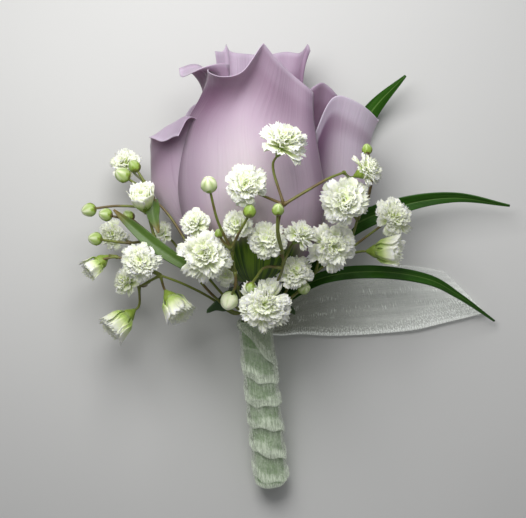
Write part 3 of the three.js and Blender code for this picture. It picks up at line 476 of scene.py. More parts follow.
def petal(skin, seed, centre, half, belly, length, rim=DOME, bend=30.0, cusp=1.2, at=0.0, turn=0.0,
          narrow=0.15, close=7.0, rise=(0.05, 0.55), bulge=0.0, peak=0.0, spread=0.5, floor=0.0,
          start=0.74, end=1.1, late=0.0, left=0.0, right=0.0, tone=0.0, lip=0.2, grid=(40, 48)):
    """Adds a petal. Its side view is walked from the root: the heading starts as a wide cup, settles
    along the axis at the belly, closes, and turns out near the rim by bend, later by late. rim and a
    cusp at one place lengthen it, left and right add degrees to its sides, bulge swells it, and a
    slow ripple that grows towards the rim makes it uneven. tone is how much darker and mauver it is
    than the front one, partly its own deeper colour and partly painted shade on petals that sit in
    shade, and lip how pale its rim is, partly painted light on the rolled rim."""
    u, v = sheet_grid(*grid)
    v = 1 - (1 - v) ** 1.25
    reach = length + between(rim, u) + cusp * exp(-np.abs(u - at) / CUSP_WIDTH)
    fall = (belly - ROOT_RADIUS) / (SWELL * length)
    middle, step = (v[1:] + v[:-1]) / 2, np.diff(v, axis=0)
    far = middle * reach / length
    closing = CLOSING * close * far * sin(pi * np.minimum(far, 1))
    delay = between(late, u)
    turning = between(bend, u) * smooth(middle, start + delay, end + delay)
    heading = radians(CUP_ANGLE * exp(-far / fall) - closing + turning)
    root = np.zeros(u.shape)
    forward = GAP + np.concatenate([root, np.cumsum(cos(heading) * reach * step, 0)])
    radius = ROOT_RADIUS + np.concatenate([root, np.cumsum(sin(heading) * reach * step, 0)])
    wide = spread * (0.7 + 0.4 * v)
    swelling = bulge * exp(-((u - peak) / wide) ** 2) * smooth(v, *rise)
    ripple = 0.22 * v ** 4 * sin(8.5 * u + 2.1 * seed) + 0.16 * v ** 2 * sin(3.1 * u + 5 * v + seed)
    upper = smooth(v, 0.5, 1)
    sideways = between(left, v) * (1 - u) / 2 + between(right, v) * (1 + u) / 2
    azimuth = radians(centre + turn * upper + half * (1 - narrow * upper) * u + sideways)
    face = rose_point(forward, radius + swelling + ripple, azimuth)
    face[..., 2] = np.maximum(face[..., 2], floor + ABOVE_TABLE)
    thin = PETAL_THICKNESS * (1 - 0.55 * smooth(v, 0.8, 1)) * (1 - 0.4 * smooth(np.abs(u), 0.8, 1))
    blade(skin, face, pairs(u / 2 + 0.5, v), thin, tone=tone, seed=seed, lip=lip)


def rose_bloom(finish):
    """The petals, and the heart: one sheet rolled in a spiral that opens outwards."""
    skin = Skin()
    for seed, (place, form) in enumerate(PETALS.values()):
        petal(skin, seed, *place, **form)
    t, v = linspace(0, 1, 151)[None, :], linspace(0, 1, 21)[:, None]
    angle = 2 * pi * HEART_TURNS * t
    top = HEART_TOP - 3 * (1 - t) + 0.7 * sin(angle * 1.5)
    radius = (0.8 + 5.6 * t) * (0.35 + 0.65 * sin(pi * (0.2 + 0.55 * v)))
    sheet = rose_point(HEART_FOOT + (top - HEART_FOOT) * v, radius, angle)
    blade(skin, sheet[:, ::-1], pairs(t, v), HEART_THICKNESS, tone=0.9, seed=30)
    return skin.mesh("rose", finish, "rose_bloom", slot="rose_petal")


def petal_finish():
    """Velvety petal: lavender with a cream heart line low down, mauve under the rim that is partly its own
    colour and partly painted shade where the flared rim turns from the light, painted shade at its left
    under the rim, under its tip and in the creases along its sides, bluish on the inner side, and where
    lip says so a pale lip, partly painted light on the rolled rim, with painted shade in a crease at its
    left and in a fold below it. A painted highlight runs along the very rim. Brown and then green at the
    root are partly painted shade, and fine veins run up from it."""
    made = Finish("rose_petal")
    across, up = made.across_and_along()
    inner, tone, seed, lip = map(made.value, ("inner", "tone", "seed", "lip"))
    side = abs(across - 0.5) * 2.0
    veins = made.grain((across - 0.5) * 58.0, up * 2.2, seed * 3.7, 3.0, 0.55)
    cloudy = made.grain(across * 4.2, up * 4.2, seed * 1.4, 3.0, 0.55)
    mauve = rgb(120, 84, 112)
    heart_line = side.spread(0.7, 0.05) * up.spread(0.86, 0.5)
    # Under the rim: the petal's own deeper mauve, and painted shade where the flared rim turns from the
    # light.
    rim_mauve_and_shade = up.spread(0.6, 0.9) * (0.5 + cloudy * 0.5) * (1.0 - inner * 0.6) * (1.0 - lip * 0.8)
    # Painted shade at the left under the rim.
    left = up.spread(0.66, 0.9) * across.spread(0.55, 0.1) * (1.0 - inner * 0.8)
    # Painted shade under the tip.
    shade_under_tip = up.spread(0.74, 0.92) * abs(across - 0.64).spread(0.34, 0.08) * (1.0 - inner) * (1.0 - lip)
    # Painted shade in the fold below a lip.
    fold = up.spread(0.8, 0.87) * up.spread(0.92, 0.88) * side.spread(0.9, 0.6)
    # Painted highlight along the very rim, wider on a lip.
    edge = up.spread(0.9, 0.94) * lip * 0.5 + up.spread(0.975, 0.996) * 0.3
    # Root colours, brown and then green: partly painted shade.
    root = side.spread(0.95, 0.6)
    leafy = made.blend(veins.spread(0.4, 0.62), rgb(48, 84, 0), rgb(116, 150, 30))
    colour = made.coats(
        rgb(182, 158, 181),
        (heart_line * 0.7 + cloudy * 0.2 + lip * 0.4, rgb(202, 189, 194)),
        (rim_mauve_and_shade * 0.8, mauve),
        (left * 0.85, rgb(104, 70, 96)),
        (shade_under_tip * 0.7, rgb(82, 52, 74)),
        # Painted shade in the creases along the sides, and at the crease on a lip petal's left.
        (side.spread(0.72, 0.98) * 0.75, rgb(96, 58, 92)),
        (across.spread(0.38, 0.17) * lip * 0.8, rgb(104, 70, 104)),
        (inner * 0.45, rgb(170, 158, 178)),
        # tone: partly each petal's own deeper mauve, partly painted shade on petals in shade.
        (tone * 0.4, mauve),
        (veins.spread(0.54, 0.72) * 0.16, mauve),
        # Pale lip: partly the petal's own paler colour, partly painted light on the rolled rim.
        (lip * across.spread(0.17, 0.4) * 0.7, rgb(214, 198, 218)),
        # Painted shade in the fold below a lip.
        (fold * lip * 0.3, mauve),
        (edge, rgb(212, 198, 218)),
        # Brown and then green at the root, partly painted shade.
        (up.spread(0.4, 0.28) * root * 0.6, rgb(156, 128, 104)),
        (up.spread(0.35, 0.26) * root, leafy))
    return made.close(
        Base_Color=colour, Roughness=veins.spread(0.3, 0.7, 0.5, 0.64),
        Normal=made.bump(veins * 0.7 + cloudy * 0.5, 0.00018, 0.7), Subsurface_Weight=0.2,
        Subsurface_Radius=(0.004, 0.0022, 0.0032), Subsurface_Scale=0.4, Sheen_Weight=0.2,
        Sheen_Roughness=0.45, Specular_IOR_Level=0.35)


# Handle frame: distances run from the hip end to the cut end, angles start at its upper side

HANDLE_WAY = unit(HANDLE_END - HANDLE_TOP)
HANDLE_LENGTH = float(np.linalg.norm(HANDLE_END - HANDLE_TOP))
HANDLE_UP = unit(np.array([0, 0, 1.0]) - HANDLE_WAY * HANDLE_WAY[2])
HANDLE_RIGHT = np.cross(HANDLE_UP, HANDLE_WAY)


def handle_point(distance, radius, angle):
    """A point of the handle; angle is in degrees from its upper side, to the right."""
    turn = radians(np.asarray(angle, float))[..., None]
    out = cos(turn) * HANDLE_UP + sin(turn) * HANDLE_RIGHT
    on_axis = HANDLE_TOP + np.asarray(distance, float)[..., None] * HANDLE_WAY
    return on_axis + np.asarray(radius)[..., None] * out


# The hip's outline as [height, radius], and each sepal's place round the hip in degrees, its length
# and how far it twists
HIP_PROFILE = [[-6, 1.4], [-4.8, 2.2], [-3.4, 3.6], [-1.8, 4], [-0.4, 3.6], [0.2, 2.6], [0.3, 0.3]]
SEPALS = [[-78, 8.4, 75], [-2, 8, 0], [86, 6.5, -75], [150, 8, 0], [-145, 9, 0]]


def rose_calyx(finish):
    """Hip, sepals and stem. The hip has five faint ribs. A sepal is widest near its root and narrows
    to a point; its middle is keeled, its edges lift, and it twists and falls back as it leaves the
    hip."""
    skin = Skin()
    height, radius = along(HIP_PROFILE, linspace(0, 1, 28)).T
    ribs = 1 + 0.02 * cos(5 * ring_angles(40))
    turned(skin, ROSE_BASE, ROSE_AXIS, height, radius[:, None] * ribs)
    u, v = sheet_grid(8, 23)
    for angle, length, twist in SEPALS:
        width = SEPAL_WIDTH * cos(v * 1.5) * (1 + 0.12 * sin(14 * v)) * u
        reach = SEPAL_START + length * v
        tipped = radians(twist) * smooth(v, 0, 0.4)
        turn = radians(angle) + width * cos(tipped) / reach
        back = SEPAL_ROOT - 2.4 * np.abs(sin(tipped)) - 3 * v * v + 0.3 * u * u
        face = rose_point(back + width * sin(tipped), reach, turn)
        blade(skin, face[:, ::-1], pairs(u / 2 + 0.5, v), LEAF_THICKNESS, tip=v)
    route = [*handle_point([HANDLE_LENGTH - ROSE_STEM_CUT, 1, 0], 0, 0), rose_point(HIP_FOOT, 0, 0)]
    tube(skin, curve(route, 1.5), ROSE_STEM_RADIUS, 16)
    return skin.mesh("rose_hip", finish, "rose_calyx", slot="rose_green")


def hip_finish():
    """Mottled dark green, a little lighter towards the tips of the sepals."""
    made = Finish("rose_green")
    mottled = made.noise(made.place(), 420.0, 3.0, 0.6)
    tip = made.value("tip") * 0.5
    colour = made.coats(rgb(26, 48, 20), (mottled, rgb(66, 92, 40)), (tip, rgb(58, 88, 40)))
    bump = made.bump(mottled, 0.0002, 0.6)
    return made.close(Base_Color=colour, Roughness=0.5, Normal=bump, Coat_Weight=0.1)


def floral_tape(finish):
    """Tape: a sleeve whose radius steps along a helix, with fine cross wrinkles of the crepe. Its rows
    run down the outer wall and back up the inner one."""
    angle = ring_angles(72)
    distance = linspace(TAPE_ENDS["hip"], HANDLE_LENGTH + TAPE_ENDS["cut"], 150)[:, None]
    lap = np.mod(distance / TAPE_LAP_PITCH - angle / (2 * pi), 1)
    wrinkle = 0.035 * sin(distance * 9 + 3 * sin(angle)) * sin(5 * angle)
    outer = TAPE_RADIUS + TAPE_LAP * (lap - 1) + wrinkle
    radius = np.concatenate([outer, np.full_like(outer, TAPE_RADIUS - TAPE_WALL)])
    distance = np.concatenate([distance, distance[::-1]])
    points = handle_point(distance, radius, np.degrees(angle))
    uv = pairs(angle / (2 * pi), distance / TAPE_PATTERN_LENGTH)
    quads = grid_quads(*radius.shape, wrapped=True, closed=True)
    skin = Skin()
    skin.add(points.reshape(-1, 3), [quads[:, ::-1]], uv.reshape(-1, 2))
    return skin.mesh("tape", finish, "floral_tape", slot="floral_tape")


def tape_finish():
    """Waxed crepe: two greens in patches, paler along its fine cross wrinkles."""
    made = Finish("floral_tape")
    turn, down = made.across_and_along()
    crepe = made.grain(turn * 9.0, down * 150.0, 0.0, 3.0, 0.6)
    patches = made.noise(made.place(), 260.0)
    wrinkles = crepe.spread(0.35, 0.7) * 0.35
    colour = made.coats(rgb(54, 110, 30), (patches, rgb(108, 156, 70)), (wrinkles, rgb(156, 190, 112)))
    bump = made.bump(crepe, 0.00025, 0.8)
    return made.close(Base_Color=colour, Roughness=0.7, Normal=bump, Sheen_Weight=0.2)


def ribbon_wrap(finish):
    """Wound ribbon: a strip along a helix whose lower edge is bunched up and lies over the next turn.
    Short pleats cross it, deep where it is bunched; the first turn runs down steeply from the left,
    and the last ones fold in over the cut end."""
    turn_length = 2 * pi * (WRAP_RADIUS + WRAP_STEP)
    turns = HANDLE_LENGTH / WRAP_PITCH + WRAP_MORE_TURNS
    t = linspace(WRAP_START, WRAP_START + turns, int(turns * 180) + 1)[None, :]
    w = linspace(0, 1, 31)[:, None]
    a = 2 * pi * t
    steep = exp(-(((t + 1) / 0.4) ** 2)) * (5 * sin(a) - 1.5)
    wander = (0.5 * sin(1.3 * a + 1) + steep) * w + 0.28 * sin(5.3 * a + 2) * w ** 3
    distance = WRAP_PITCH * t + WRAP_FIRST_EDGE + WRAP_GATHERED_WIDTH * (w - 1) + wander
    start = 0.77 + 0.05 * sin(2.3 * a)
    bunched = (smooth(w, start, start + 0.09) * (0.72 + 0.28 * cos(a + 0.3))
               * (0.85 + 0.15 * sin(1.9 * a + 0.4)))
    pleats = sin(33.3 * a + 2.4 * sin(1.1 * a) + 5 * w) + 0.7 * sin(51.1 * a + 1.3 - 4 * w)
    puffs = sin(7.3 * a + 9 * w + 2 * sin(2.1 * a))
    lift = (WRAP_STEP * smooth(w, 0.6, 0.85) + (0.01 + 0.04 * bunched) * pleats
            + (0.04 + 0.1 * bunched) * puffs)
    radius = WRAP_RADIUS - 0.1 + lift * (0.35 + 0.65 * smooth(distance, -0.4, 1.4))
    distance = np.maximum(distance, -0.2 + 0.25 * sin(3 * a))
    fold = HANDLE_LENGTH - WRAP_FOLD["start"]
    curl = np.clip((distance - fold) / WRAP_FOLD["pace"], 0, WRAP_FOLD["most"])
    radius = radius - WRAP_FOLD["in"] * (1 - cos(curl))
    face = handle_point(np.minimum(distance, fold) + WRAP_FOLD["on"] * sin(curl), radius, np.degrees(a))
    face[..., 2] = np.maximum(face[..., 2], RIBBON_THICKNESS + ABOVE_TABLE)
    cut_end = smooth(distance, HANDLE_LENGTH - 1.2, HANDLE_LENGTH + 0.2)
    skin = Skin()
    blade(skin, face, pairs(w, t * turn_length / RIBBON_WIDTH), RIBBON_THICKNESS,
          dim=0.6 * smooth(distance, 11, 3), bunched=np.maximum(bunched, cut_end))
    piece = skin.mesh("ribbon_wound", finish, "ribbon_wrap", slot="organza")


TAIL_NEAR_EDGE = [[1.5, -17.2, 7.9], [4.4, -17.6, 4.4], [8.6, -17.4, 1.6], [15.5, -17.8, 1.2],
                  [25.2, -17.4, 1], [35.2, -16.4, 1.2], [42.1, -14.8, 1], [51.6, -12.5, 1]]
TAIL_FAR_EDGE = [[2.15, -14.3, 9.4], [5, -11, 6.8], [9.5, -6.6, 4], [15, -3.6, 2.4],
                 [21, -2.1, 1.8], [31.7, -1.4, 1.6], [37, -1.9, 1.4], [42.1, -2.8, 1.4]]


def ribbon_tail(finish):
    """Loose end: a ruled strip between its two edges, lifted by slow waves along it, by creases that
    fan out from where it is gathered, and by two faint ones across it."""
    u, v = sheet_grid(90, 240)
    near, far = along(TAIL_NEAR_EDGE, v[:, 0]), along(TAIL_FAR_EDGE, v[:, 0])
    share = ((1 + u) / 2)[..., None]
    face = near[:, None] * (1 - share) + far[:, None] * share
    waves = 0.35 * sin(9 * v + 2 * u) * (1 - u * u) + 0.35
    creases = 0.42 * exp(-((v / 0.34) ** 2)) * sin(15 * u + 2 * sin(5 * v)) * smooth(v, 0, 0.1)
    creases = creases + 0.1 * sin(23 * u + 6 * v) * (1 - 0.6 * v) * (1 - u ** 4)
    across = 0.12 * exp(-((v - 0.62 - 0.05 * u) / 0.02) ** 2)
    across = across + 0.1 * exp(-((v - 0.83 + 0.08 * u) / 0.018) ** 2)
    face[..., 2] = np.maximum(face[..., 2] + waves + creases + across, 0.15)
    uv = pairs(u / 2 + 0.5, v * TAIL_LENGTH / RIBBON_WIDTH)
    skin = Skin()
    blade(skin, face[:, ::-1], uv[:, ::-1], RIBBON_THICKNESS, laid=1, dim=1 - smooth(v, 0.15, 0.85),
          bunched=0.9 * exp(-((v / 0.2) ** 2)))
    piece = skin.mesh("ribbon_loose_end", finish, "ribbon_tail", slot="organza")


def organza_finish():
    """Sheer ribbon. Its cover adds up fine warp and weft threads, short streaks across it, and a close
    satin edge. Where it is bunched it covers more, unevenly. The wound part has a few sparkling patches
    and a trace of the green below it. The loose end, where laid is 1, has long lines, and glints in
    two rows and along its near edge; dim is how much it is in the shade of the flowers. The cloth is
    two faces, so each covers about half of what shows."""
    made = Finish("organza")
    across, down = made.across_and_along()
    bunched, laid, dim = map(made.value, ("bunched", "laid", "dim"))
    wound = 1.0 - laid
    threads = 62.0
    weave = ((across * threads).wave() * 0.5 + (down * threads).wave() * 0.5).spread(0.25, 0.8)
    streaks = made.grain(across * 3.0, down * 34.0, 0.0, 3.0, 0.6)
    dashes = made.grain(across * 9.0, down * 46.0, 0.0, 2.0, 0.6)
    patches = made.grain(across * 5.0, down * 3.0)
    lines = made.grain(across * 60.0, down * 1.6, 0.0, 2.0, 0.6).spread(0.4, 0.7)
    sparkle = made.grain(across * 26.0, down * 52.0, 0.0, 2.0, 0.7).spread(0.47, 0.6)
    shine = dashes.spread(0.5, 0.66)
    edge = across.spread(0.062, 0.042) + across.spread(0.958, 0.972) * 0.4
    rows = abs(across - 0.36).spread(0.12, 0.03) + abs(across - 0.62).spread(0.09, 0.02) * 0.8
    near_edge = (across + patches * 0.16 - down.spread(2.1, 3.4) * 0.3).spread(0.3, 0.12)
    glints = shine * rows * patches.spread(0.42, 0.6) + sparkle * near_edge
    body = 0.22 - across.spread(0.55, 0.85) * down.spread(2.0, 2.9) * 0.16 - dim * 0.06
    # Bunched cloth covers more, and its shine adds painted glints.
    gathers = 0.24 + streaks.spread(0.38, 0.6) * 0.35 + shine * 0.5
    cover = weave * 0.04 + streaks.spread(0.5, 0.66) * (0.12 - laid * 0.09) + 0.05
    cover = cover + laid * (body + lines * 0.12 + glints * 0.55) + dim * 0.12
    cover = cover + edge * (0.04 + laid * 0.5) * (0.5 + sparkle * 0.5)
    cover = cover + bunched * patches.spread(0.4, 0.56, 0.4, 1.1) * gathers
    cover = cover + wound * sparkle * patches.spread(0.54, 0.42) * 0.16
    lit = edge * 0.7 + glints * laid * 0.7
    colour = made.coats(
        rgb(236, 242, 234), (streaks, rgb(254, 255, 253)), (wound * 0.45, rgb(220, 240, 196)),
        (dim * (1.0 - lit) * 0.88, rgb(90, 94, 66)))
    # The faint emission of the colour is a painted glow that stands in for light the sheer cloth scatters.
    return made.close(
        Base_Color=colour, Roughness=dashes.spread(0.3, 0.7, 0.2, 0.4), Alpha=cover,
        Normal=made.bump(streaks + dashes * 0.8 + weave * 0.05, 0.0003, 0.3), Sheen_Weight=0.8,
        Sheen_Roughness=0.35, Specular_IOR_Level=0.7, Emission_Color=colour, Emission_Strength=0.1)


# Leaves

LEAVES = {
    "leaf_upper": dict(
        angle=-162, width=4.8, widest=1.5, fold=-0.2, roll=(0, 12),
        stalk=[[-1.2, -9.6, 6], [2, -5, 3.6]],
        spine=[[1.4, -5.8, 4], [5.5, 0, 2.4], [12, 10, 1.5], [19, 23, 2], [25, 34, 4.2],
               [32.4, 41.7, 8.5]]),
    "leaf_right": dict(
        angle=162, width=4.2, widest=0.8, fold=0.35, roll=(0, -25),
        stalk=[[1.6, -10.8, 9.2], [5, -7, 8.4]],
        spine=[[4.4, -7.6, 8.6], [11, -1, 7.6], [18.9, 6.6, 7], [31, 12, 8], [43.6, 13.9, 8],
               [56.6, 12.1, 5.5]]),
    "leaf_lower": dict(
        angle=126, width=2.5, widest=0.8, fold=0.3, roll=(0, 30),
        stalk=[[1.8, -11.4, 11.4], [5.4, -8.7, 12.2]],
        spine=[[4.8, -9.2, 12], [12.8, -4.4, 15.2], [24.4, -2.8, 15], [37.8, -4.7, 11], [45, -8.5, 7],
               [53.7, -14.3, 2]]),
}


def leaf_blade(skin, spine, width, fold, roll=(0, 0), widest=0.8, thickness=LEAF_THICKNESS, **values):
    """Adds a leaf: its half width swells and narrows as a sine along the spine, nearer the tip the
    larger widest is; it is folded up along the midrib by fold, rolls sideways along its length, and
    its edges waver a little."""
    u, v = sheet_grid(20, 89)
    centre = along(spine, v[:, 0])
    ahead = unit(np.gradient(centre, axis=0))
    right = unit(np.cross(ahead, [0, 0, 1.0]))
    tipped = radians(roll[0] + (roll[1] - roll[0]) * v)
    across = right * cos(tipped) + np.cross(right, ahead) * sin(tipped)
    half = width / 2 * sin(pi * np.minimum(1, 0.12 + 0.86 * v) ** widest) + 0.2 - 0.14 * v
    face = centre[:, None] + (half * u)[..., None] * across[:, None]
    waver = 0.1 * sin(11 * v + 2 * np.sign(u)) * u ** 2
    face[..., 2] += half * (fold * np.sqrt(u * u + 0.02) + waver)
    blade(skin, face, pairs(u / 2 + 0.5, v), thickness, **values)


def bound_stalk(angle):
    """A stalk's low end in the tape, its upper end, and the point where its free part begins."""
    return handle_point([HANDLE_LENGTH - STALK_CUT, STALK_TIP, STALK_FREE], STALK_RING, angle)


def leaf(name, finish, angle, stalk, spine, **form):
    """A leaf's blade, and its stalk from inside the tape into the foot of the blade."""
    skin = Skin()
    leaf_blade(skin, spine, **form)
    low, high, free = bound_stalk(angle)
    tube(skin, np.array([low, high]), STALK_RADIUS)
    path = curve([high, free, *stalk, *spine[:2]])
    path = path[: int(len(path) * 0.86)]
    tube(skin, path, STALK_RADIUS * linspace(1, 0.7, len(path)))
    skin.mesh(name + "_blade", finish, name, slot="leaf_green")


def leaf_finish():
    """Glossy leaf: a pale midrib, fine parallel veins, a lighter and duller underside."""
    made = Finish("leaf_green")
    across, up = made.across_and_along()
    side = abs(across - 0.5) * 2.0
    veins = made.grain(across * 26.0, up * 3.0, 0.0, 3.0)
    colour = made.coats(
        rgb(14, 50, 0), (made.grain(across * 2.0, up * 7.0), rgb(54, 104, 20)),
        (veins.spread(0.5, 0.72) * 0.3, rgb(88, 130, 46)),
        (side.spread(0.13, 0.05) * 0.45, rgb(112, 146, 76)),
        (made.value("inner") * 0.5, rgb(96, 134, 84)))
    return made.close(
        Base_Color=colour, Roughness=veins.spread(0.3, 0.7, 0.3, 0.42),
        Normal=made.bump(veins + side.spread(0.0, 0.16) * 0.6, 0.0002, 0.7), Coat_Weight=0.05,
        Coat_Roughness=0.2, Specular_IOR_Level=0.2, Subsurface_Weight=0.05,
        Subsurface_Radius=(0.001, 0.002, 0.0005), Subsurface_Scale=0.3)


# Florets: kind, middle of the head, the way it faces, and its radius

FLORETS = {
    "top": ["pompon", [4.6, 24.6, 45.5], [0.38, 0.74, 0.55], 5],
    "upper_middle": ["pompon", [-3.5, 15.5, 44], [0, 0.1, 1], 4.1],
    "left_large": ["pompon", [-12.4, 1, 34.5], [-0.1, 0.1, 1], 5.2],
    "left_behind": ["small", [-14.7, 7.9, 33.4], [-0.25, 0.4, 0.88], 3.1],
    "middle_pale": ["small", [-5.6, 7.5, 37.4], [0, 0.3, 0.95], 3.2],
    "middle": ["pompon", [0.7, 4.2, 36.6], [-0.1, 0.1, 1], 3.8],
    "middle_side": ["pompon", [8.4, 5.6, 35.4], [0.5, 0.6, 0.6], 3.2],
    "lower_middle": ["pompon", [7, -2.4, 28.6], [0.1, 0.35, 0.93], 3.6],
    "front": ["pompon", [0.4, -9.8, 29.5], [0.1, 0.05, 1], 5.4],
    "front_left": ["small", [-8, -3.4, 27.4], [-0.1, 0.1, 1], 2.4],
    "right_large": ["pompon", [15, 2.8, 29.4], [0.25, -0.1, 0.96], 5],
    "right_high": ["pompon", [17.4, 12.4, 36.2], [0, 0.1, 1], 4.8],
    "right_side": ["pompon", [22.6, 19, 35.8], [0.8, 0.35, 0.4], 3.6],
    "right_far": ["pompon", [29.2, 9.2, 19], [0.3, 0.2, 0.93], 4.1],
    "right_bell": ["bell", [28, 1.8, 20.6], [0.96, 0.02, 0.25], 3.4],
    "left_top": ["small", [-31.4, 21.9, 11.5], [-0.3, 0.35, 0.85], 3.4],
    "left_bell": ["bell", [-26.5, 13.7, 22.4], [-0.1, 0.7, 0.7], 3],
    "left_low": ["small", [-34.4, 5.6, 10], [-0.3, 0.1, 0.95], 3.2],
    "left_middle": ["pompon", [-26.8, -0.4, 24], [-0.05, 0.1, 1], 4.1],
    "left_under": ["small", [-31.4, -4.8, 11.8], [-0.7, 0.25, 0.65], 3.3],
    "low_bell": ["bell", [-32.6, -14.7, 15.4], [-0.72, -0.62, 0.3], 3.4],
    "near_bell": ["bell", [-19, -11, 20.4], [0.5, -0.75, 0.42], 3.4],
    "left_small": ["small", [-22.8, 6.2, 12.8], [-0.4, 0.4, 0.82], 2.4],
    "half_open": ["bell", [-37.9, -1.8, 17], [-0.75, -0.55, 0.35], 2.4],
}
# For each kind: where the head's middle is and how many petals it has; then from its outermost petal
# to its innermost one the rise in degrees, the length, the half width and the curl
HEADS = {
    "pompon": dict(middle=0.45, petals=72, rise=(8, 88), length=(1.04, 0.94), width=(0.25, 0.2),
                   curl=(-22, -52)),
    "small": dict(middle=0.45, petals=46, rise=(10, 88), length=(1.04, 0.92), width=(0.29, 0.24),
                  curl=(-22, -46)),
    "bell": dict(middle=0.9, petals=34, rise=(84, 88), length=(1.64, 1.45), width=(0.5, 0.3),
                 curl=(-46, -20)),
}


def floret_foot(kind, middle, facing, radius):
    """Where a floret's petals start, and the way it faces."""
    way = unit(np.array(facing, float))
    return np.array(middle) - way * HEADS[kind]["middle"] * radius, way


def floret(name, finish, seed):
    """A double floret. Its petals follow each other round by the golden angle, loosely, from flat outer
    ones to upright inner ones whose tips turn out. A petal is a fan: a narrow claw that widens to a
    broad tip with three lobes, crumpled at random from side to side and twisted a little. Those of a
    bell stand in a goblet with a wide mouth."""
    kind, _, _, radius = FLORETS[name]
    head = HEADS[kind]
    random = np.random.default_rng(seed)
    count, rows, columns = head["petals"], 5, 7
    share = linspace(0, 1, count)[:, None, None]
    u, v = (side[None] for side in sheet_grid(columns - 1, rows - 1))

    def scatter(size, wide=1):
        return size * random.standard_normal((count, 1, wide))

    def graded(key, size):
        first, last = head[key]
        return first + (last - first) * share + scatter(size)

    rise, curl = graded("rise", 6), graded("curl", 12)
    length, width = graded("length", 0.06) * radius, graded("width", 0.04) * radius
    azimuth = np.arange(count)[:, None, None] * GOLDEN_ANGLE + scatter(0.35)
    lobes = cos(3 * pi * u)
    step = length * (1 - 0.12 * u ** 4 + (0.035 + scatter(0.02)) * lobes) / (rows - 1)
    heading = radians(rise + curl * ((v[:, 1:] + v[:, :-1]) / 2 - 0.3))
    claw = np.zeros((count, 1, columns))
    out = np.concatenate([claw, np.cumsum(cos(heading) * step, 1)], 1)
    high = np.concatenate([claw, np.cumsum(sin(heading) * step, 1)], 1)
    crumple = radius * v ** 1.3 * scatter(0.045, columns)
    crumple = crumple + 0.05 * radius * v * cos(3 * pi * u + 2 * scatter(1))
    twist = scatter(0.3) * v
    fan = width * (0.14 + 0.86 * smooth(v, -0.1, 0.85)) * u
    side = fan * cos(twist)
    lift = fan * sin(twist) + crumple + 0.3 * fan * u
    lean = radians(rise + curl * (v - 0.3))
    far = 0.1 * radius * (1 - share) + out - lift * sin(lean)
    tall = 0.06 * radius * share + high + lift * cos(lean)
    if kind == "bell":
        climb = tall / (1.7 * radius)
        goblet = 0.34 + 0.5 * smooth(climb, -0.2, 0.32) + 0.2 * smooth(climb, 0.5, 1)
        far = radius * goblet * (1 - 0.8 * share) + 0.8 * crumple
    foot, way = floret_foot(*FLORETS[name])
    right, ahead = frame_at(way)
    x = far * cos(azimuth) - side * sin(azimuth)
    y = far * sin(azimuth) + side * cos(azimuth)
    face = foot + x[..., None] * right + y[..., None] * ahead + tall[..., None] * way
    uv = pairs(u / 2 + 0.5, v)[0]
    skin = Skin()
    blade(skin, face[:, :, ::-1], uv[:, ::-1], FLORET_THICKNESS, core=share.ravel(),
          shade=random.random(count), closed=kind == "bell")
    skin.mesh(f"floret_{name}_petals", finish, "floret_" + name, slot="floret_white")


def floret_finish():
    """White petals, greenish yellow at their claws and in the head's heart, higher up on a bell, with
    faint veins, and a faint painted glow of their own colour that lifts the shade between them."""
    made = Finish("floret_white")
    across, up = made.across_and_along()
    core, shade, closed = map(made.value, ("core", "shade", "closed"))
    veins = made.grain(across * 14.0, up * 2.0, shade * 9.0)
    colour = made.coats(
        rgb(232, 237, 216), (shade, rgb(252, 253, 244)),
        (up.spread(0.95, 0.35) * 0.8, rgb(218, 232, 158)),
        (core.spread(0.45, 1.0) * up.spread(1.15, 0.6) * 0.6, rgb(212, 228, 140)),
        (closed * up.spread(0.52, 0.25) * 0.8, rgb(160, 190, 80)),
        (veins.spread(0.5, 0.75) * 0.1, rgb(200, 208, 176)))
    # The faint emission is a painted glow that lifts the shade among the crowded petals.
    return made.close(
        Base_Color=colour, Roughness=0.55, Normal=made.bump(veins, 0.00012, 0.6), Subsurface_Weight=0.6,
        Subsurface_Radius=(0.0002, 0.0002, 0.00015), Subsurface_Scale=0.5, Emission_Color=colour,
        Emission_Strength=0.04, Sheen_Weight=0.1)


# Sprays: the stalk's angle in the handle, stems as routes of points, buds as [middle, radius, how ripe],
# the florets each one carries with where their stems branch off, and small leaves. A whole number in
# a route, or for a floret, stands for a point written before in that spray's routes, counted from 0.

